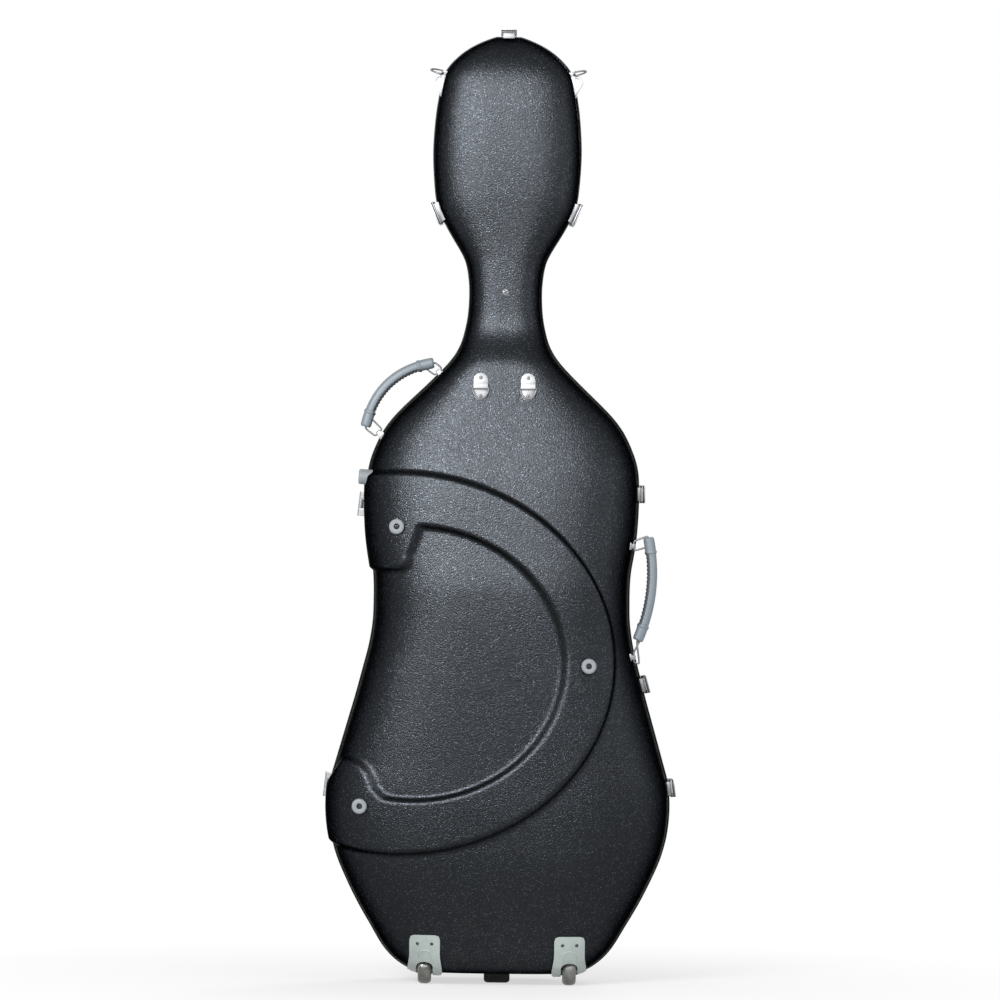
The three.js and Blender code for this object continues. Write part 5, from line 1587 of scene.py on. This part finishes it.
class CASE_OT_grips(bpy.types.Operator):
    """Moulds the bowed grips: smooth outside, ribbed underneath, with a collar at each end"""

    bl_idname = "cello_case.grips"
    bl_label = "Grips"
    bl_options = {"REGISTER", "UNDO"}

    def execute(self, context):
        for side, (low, middle, high, y, sign) in GRIPS.items():
            mesh = self.grip_mesh(f"grip_{side}_moulded", low, middle, high, y, sign)
            add_piece(mesh.name, mesh, f"handle_{side}", "grip", [f"grip_{side}"])
            # Darker copy of the grip's material for the side facing the case: painted shade
            mesh.materials.append(finish("grip_painted_shade"))
            self.paint_underside_shade(mesh, low, high, sign)
        return {"FINISHED"}

    def grip_mesh(self, name, low, middle, high, y, sign):
        """Section carried along a bow between two ends."""
        low, middle, high = (np.array(p) for p in (low, middle, high))
        steps, sides = 260, 36
        rings = []
        for step in range(steps + 1):
            t = step / steps
            at = (1 - t) ** 2 * low + 2 * t * (1 - t) * middle + t * t * high
            way = 2 * (1 - t) * (middle - low) + 2 * t * (high - middle)
            way /= np.linalg.norm(way)
            out = np.array([way[1], -way[0]]) * sign
            size, rib = self.profile(t)
            ring = []
            for k in range(sides):
                turn = 2 * math.pi * k / sides
                a, b = math.cos(turn), math.sin(turn)
                thick = GRIP_THICK * size * np.sign(a) * abs(a) ** 0.85 + rib * max(0.0, -a) * 1.1
                wide = GRIP_WIDE * size * np.sign(b) * abs(b) ** 0.85
                ring.append((at[0] + out[0] * thick, y + wide, at[1] + out[1] * thick))
            rings.append(ring)
        return closed_tube(name, rings, 50)

    def profile(self, t):
        """Size of the section and depth of the ribs at a share of the grip's length."""
        end = min(t, 1 - t)
        size = 0.8 + 0.2 * math.sin(min(end / 0.02, 1) * math.pi / 2)
        collar = (end - COLLAR_START) / COLLAR_WIDTH
        if 0 < collar < 1:
            size += 0.11 * math.sin(collar * math.pi) ** 0.5
        if collar > 1:
            size -= 0.06
        size += 0.035 * math.sin(math.pi * t)
        rib = 0.0
        if end > RIBS_START:
            along = (t - RIBS_START) / (1 - 2 * RIBS_START)
            wave = math.cos(2 * math.pi * settings("fittings").grip_ribs * along)
            rib = RIB_DEPTH * (0.5 + 0.5 * wave)
        return size, rib

    def paint_underside_shade(self, mesh, low, high, sign):
        """Gives the ribbed faces between the collars, which face the case, the darker finish: painted
        shade on the side away from the light.
        """
        start, end = (Vector((x, 0, height)) * MM for x, height in (low, high))
        chord = (end - start).normalized()
        out = Vector((chord.z, 0, -chord.x)) * sign
        span = (end - start).length
        for face in mesh.polygons:
            along = (face.center - start).dot(chord) / span
            if 0.15 < along < 0.85 and face.normal.dot(out) < -0.35:
                face.material_index = 1


# The neck strap: where it lies, half its span, its rise and its width
STRAP_Y = SEAM_Y - 8.7
STRAP_HEIGHT = 1000
STRAP_HALF = 29.0
STRAP_RISE = 9.0
STRAP_WIDTH = 38.0
# Distance of its outer and inner face from the arch, within it and at its two edges
STRAP_OUTER = (2.2, 1.5)
STRAP_INNER = (0.2, 0.7)


class CASE_OT_neck_rest(bpy.types.Operator):
    """Pads the neck cradle and weaves the strap over it"""

    bl_idname = "cello_case.neck_rest"
    bl_label = "Neck rest"
    bl_options = {"REGISTER", "UNDO"}

    def execute(self, context):
        cradle = self.cradle()
        self.strap()
        return {"FINISHED"}

    def cradle(self):
        """Softens the cradle's block into a pad."""
        mesh = cad_mesh("neck_cradle").copy()
        mesh.name = "neck_cradle_pad"
        piece = add_piece(mesh.name, mesh, "case", "cradle", ["neck_cradle"])
        remesh = piece.modifiers.new("Even", "REMESH")
        remesh.mode = "VOXEL"
        remesh.voxel_size = 2.2 * MM
        relax = piece.modifiers.new("Relax", "SMOOTH")
        relax.factor, relax.iterations = 0.6, 14
        finer = piece.modifiers.new("Rounding", "SUBSURF")
        finer.levels = finer.render_levels = 1
        baked(piece)
        smooth(piece.data, 80)
        return piece

    def strap(self):
        """Webbing that arches over the neck, thinner at its two edges."""
        columns, steps = 21, 60
        order = range(columns)
        rings = []
        for step in range(steps + 1):
            t = step / steps
            x = -STRAP_HALF + 2 * STRAP_HALF * t
            y = STRAP_Y + 4 * STRAP_RISE * t * (1 - t)
            slope = 4 * STRAP_RISE * (1 - 2 * t) / (2 * STRAP_HALF)
            normal = np.array([-slope, 1.0]) / math.hypot(slope, 1)
            ring = []
            for ks, (within, at_edge) in ((order, STRAP_OUTER), (reversed(order), STRAP_INNER)):
                for k in ks:
                    far = within if 0 < k < columns - 1 else at_edge
                    z = STRAP_HEIGHT + STRAP_WIDTH * (k / (columns - 1) - 0.5)
                    ring.append((x + normal[0] * far, y + normal[1] * far, z))
            rings.append(ring)
        mesh = closed_tube("neck_strap_web", rings, 50)
        add_piece("neck_strap_web", mesh, "case", "webbing", ["neck_strap"])


class CASE_OT_bow_clips(bpy.types.Operator):
    """Moulds the turning bow clips"""

    bl_idname = "cello_case.bow_clips"
    bl_label = "Bow clips"
    bl_options = {"REGISTER", "UNDO"}

    def execute(self, context):
        for side in SIDES:
            node = f"bow_clip_{side}"
            rounded_copy(node, f"{node}_moulded", node, "clip", 1.2, 30, 4)
        return {"FINISHED"}


OPERATORS = (
    CASE_OT_stage,
    CASE_OT_back_shell,
    CASE_OT_lid_shell,
    CASE_OT_rims,
    CASE_OT_linings,
    CASE_OT_neck_rest,
    CASE_OT_bow_clips,
    CASE_OT_wheels,
    CASE_OT_feet,
    CASE_OT_metalwork,
    CASE_OT_wires,
    CASE_OT_grips,
)


class CASE_PT_sidebar(bpy.types.Panel):
    """Lists the pieces of the case and their settings"""

    bl_idname = "CASE_PT_sidebar"
    bl_label = "Cello Case"
    bl_space_type = "VIEW_3D"
    bl_region_type = "UI"
    bl_category = "Cello Case"

    def draw(self, context):
        case = context.scene.cello_case
        for group in ("shell", "fittings", "padding", "studio"):
            box = self.layout.box()
            box.label(text=group.capitalize())
            chosen = getattr(case, group)
            for key in chosen.__annotations__:
                box.prop(chosen, key)
        for operator in OPERATORS:
            self.layout.operator(operator.bl_idname)


class CelloCaseSettings(bpy.types.PropertyGroup):
    """All settings of the case"""

    shell: PointerProperty(type=CaseShellSettings)
    fittings: PointerProperty(type=CaseFittingSettings)
    padding: PointerProperty(type=CasePaddingSettings)
    studio: PointerProperty(type=CaseStudioSettings)


CLASSES = (
    CaseShellSettings,
    CaseFittingSettings,
    CasePaddingSettings,
    CaseStudioSettings,
    CelloCaseSettings,
    *OPERATORS,
    CASE_PT_sidebar,
)


def register():
    for cls in CLASSES:
        bpy.utils.register_class(cls)
    bpy.types.Scene.cello_case = PointerProperty(type=CelloCaseSettings)


def unregister():
    del bpy.types.Scene.cello_case
    for cls in reversed(CLASSES):
        bpy.utils.unregister_class(cls)


def build_case():
    """Registers the add-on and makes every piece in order."""
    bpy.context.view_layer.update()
    register()
    for operator in OPERATORS:
        group, name = operator.bl_idname.split(".")
        getattr(getattr(bpy.ops, group), name)()


if __name__ == "__main__":
    build_case()
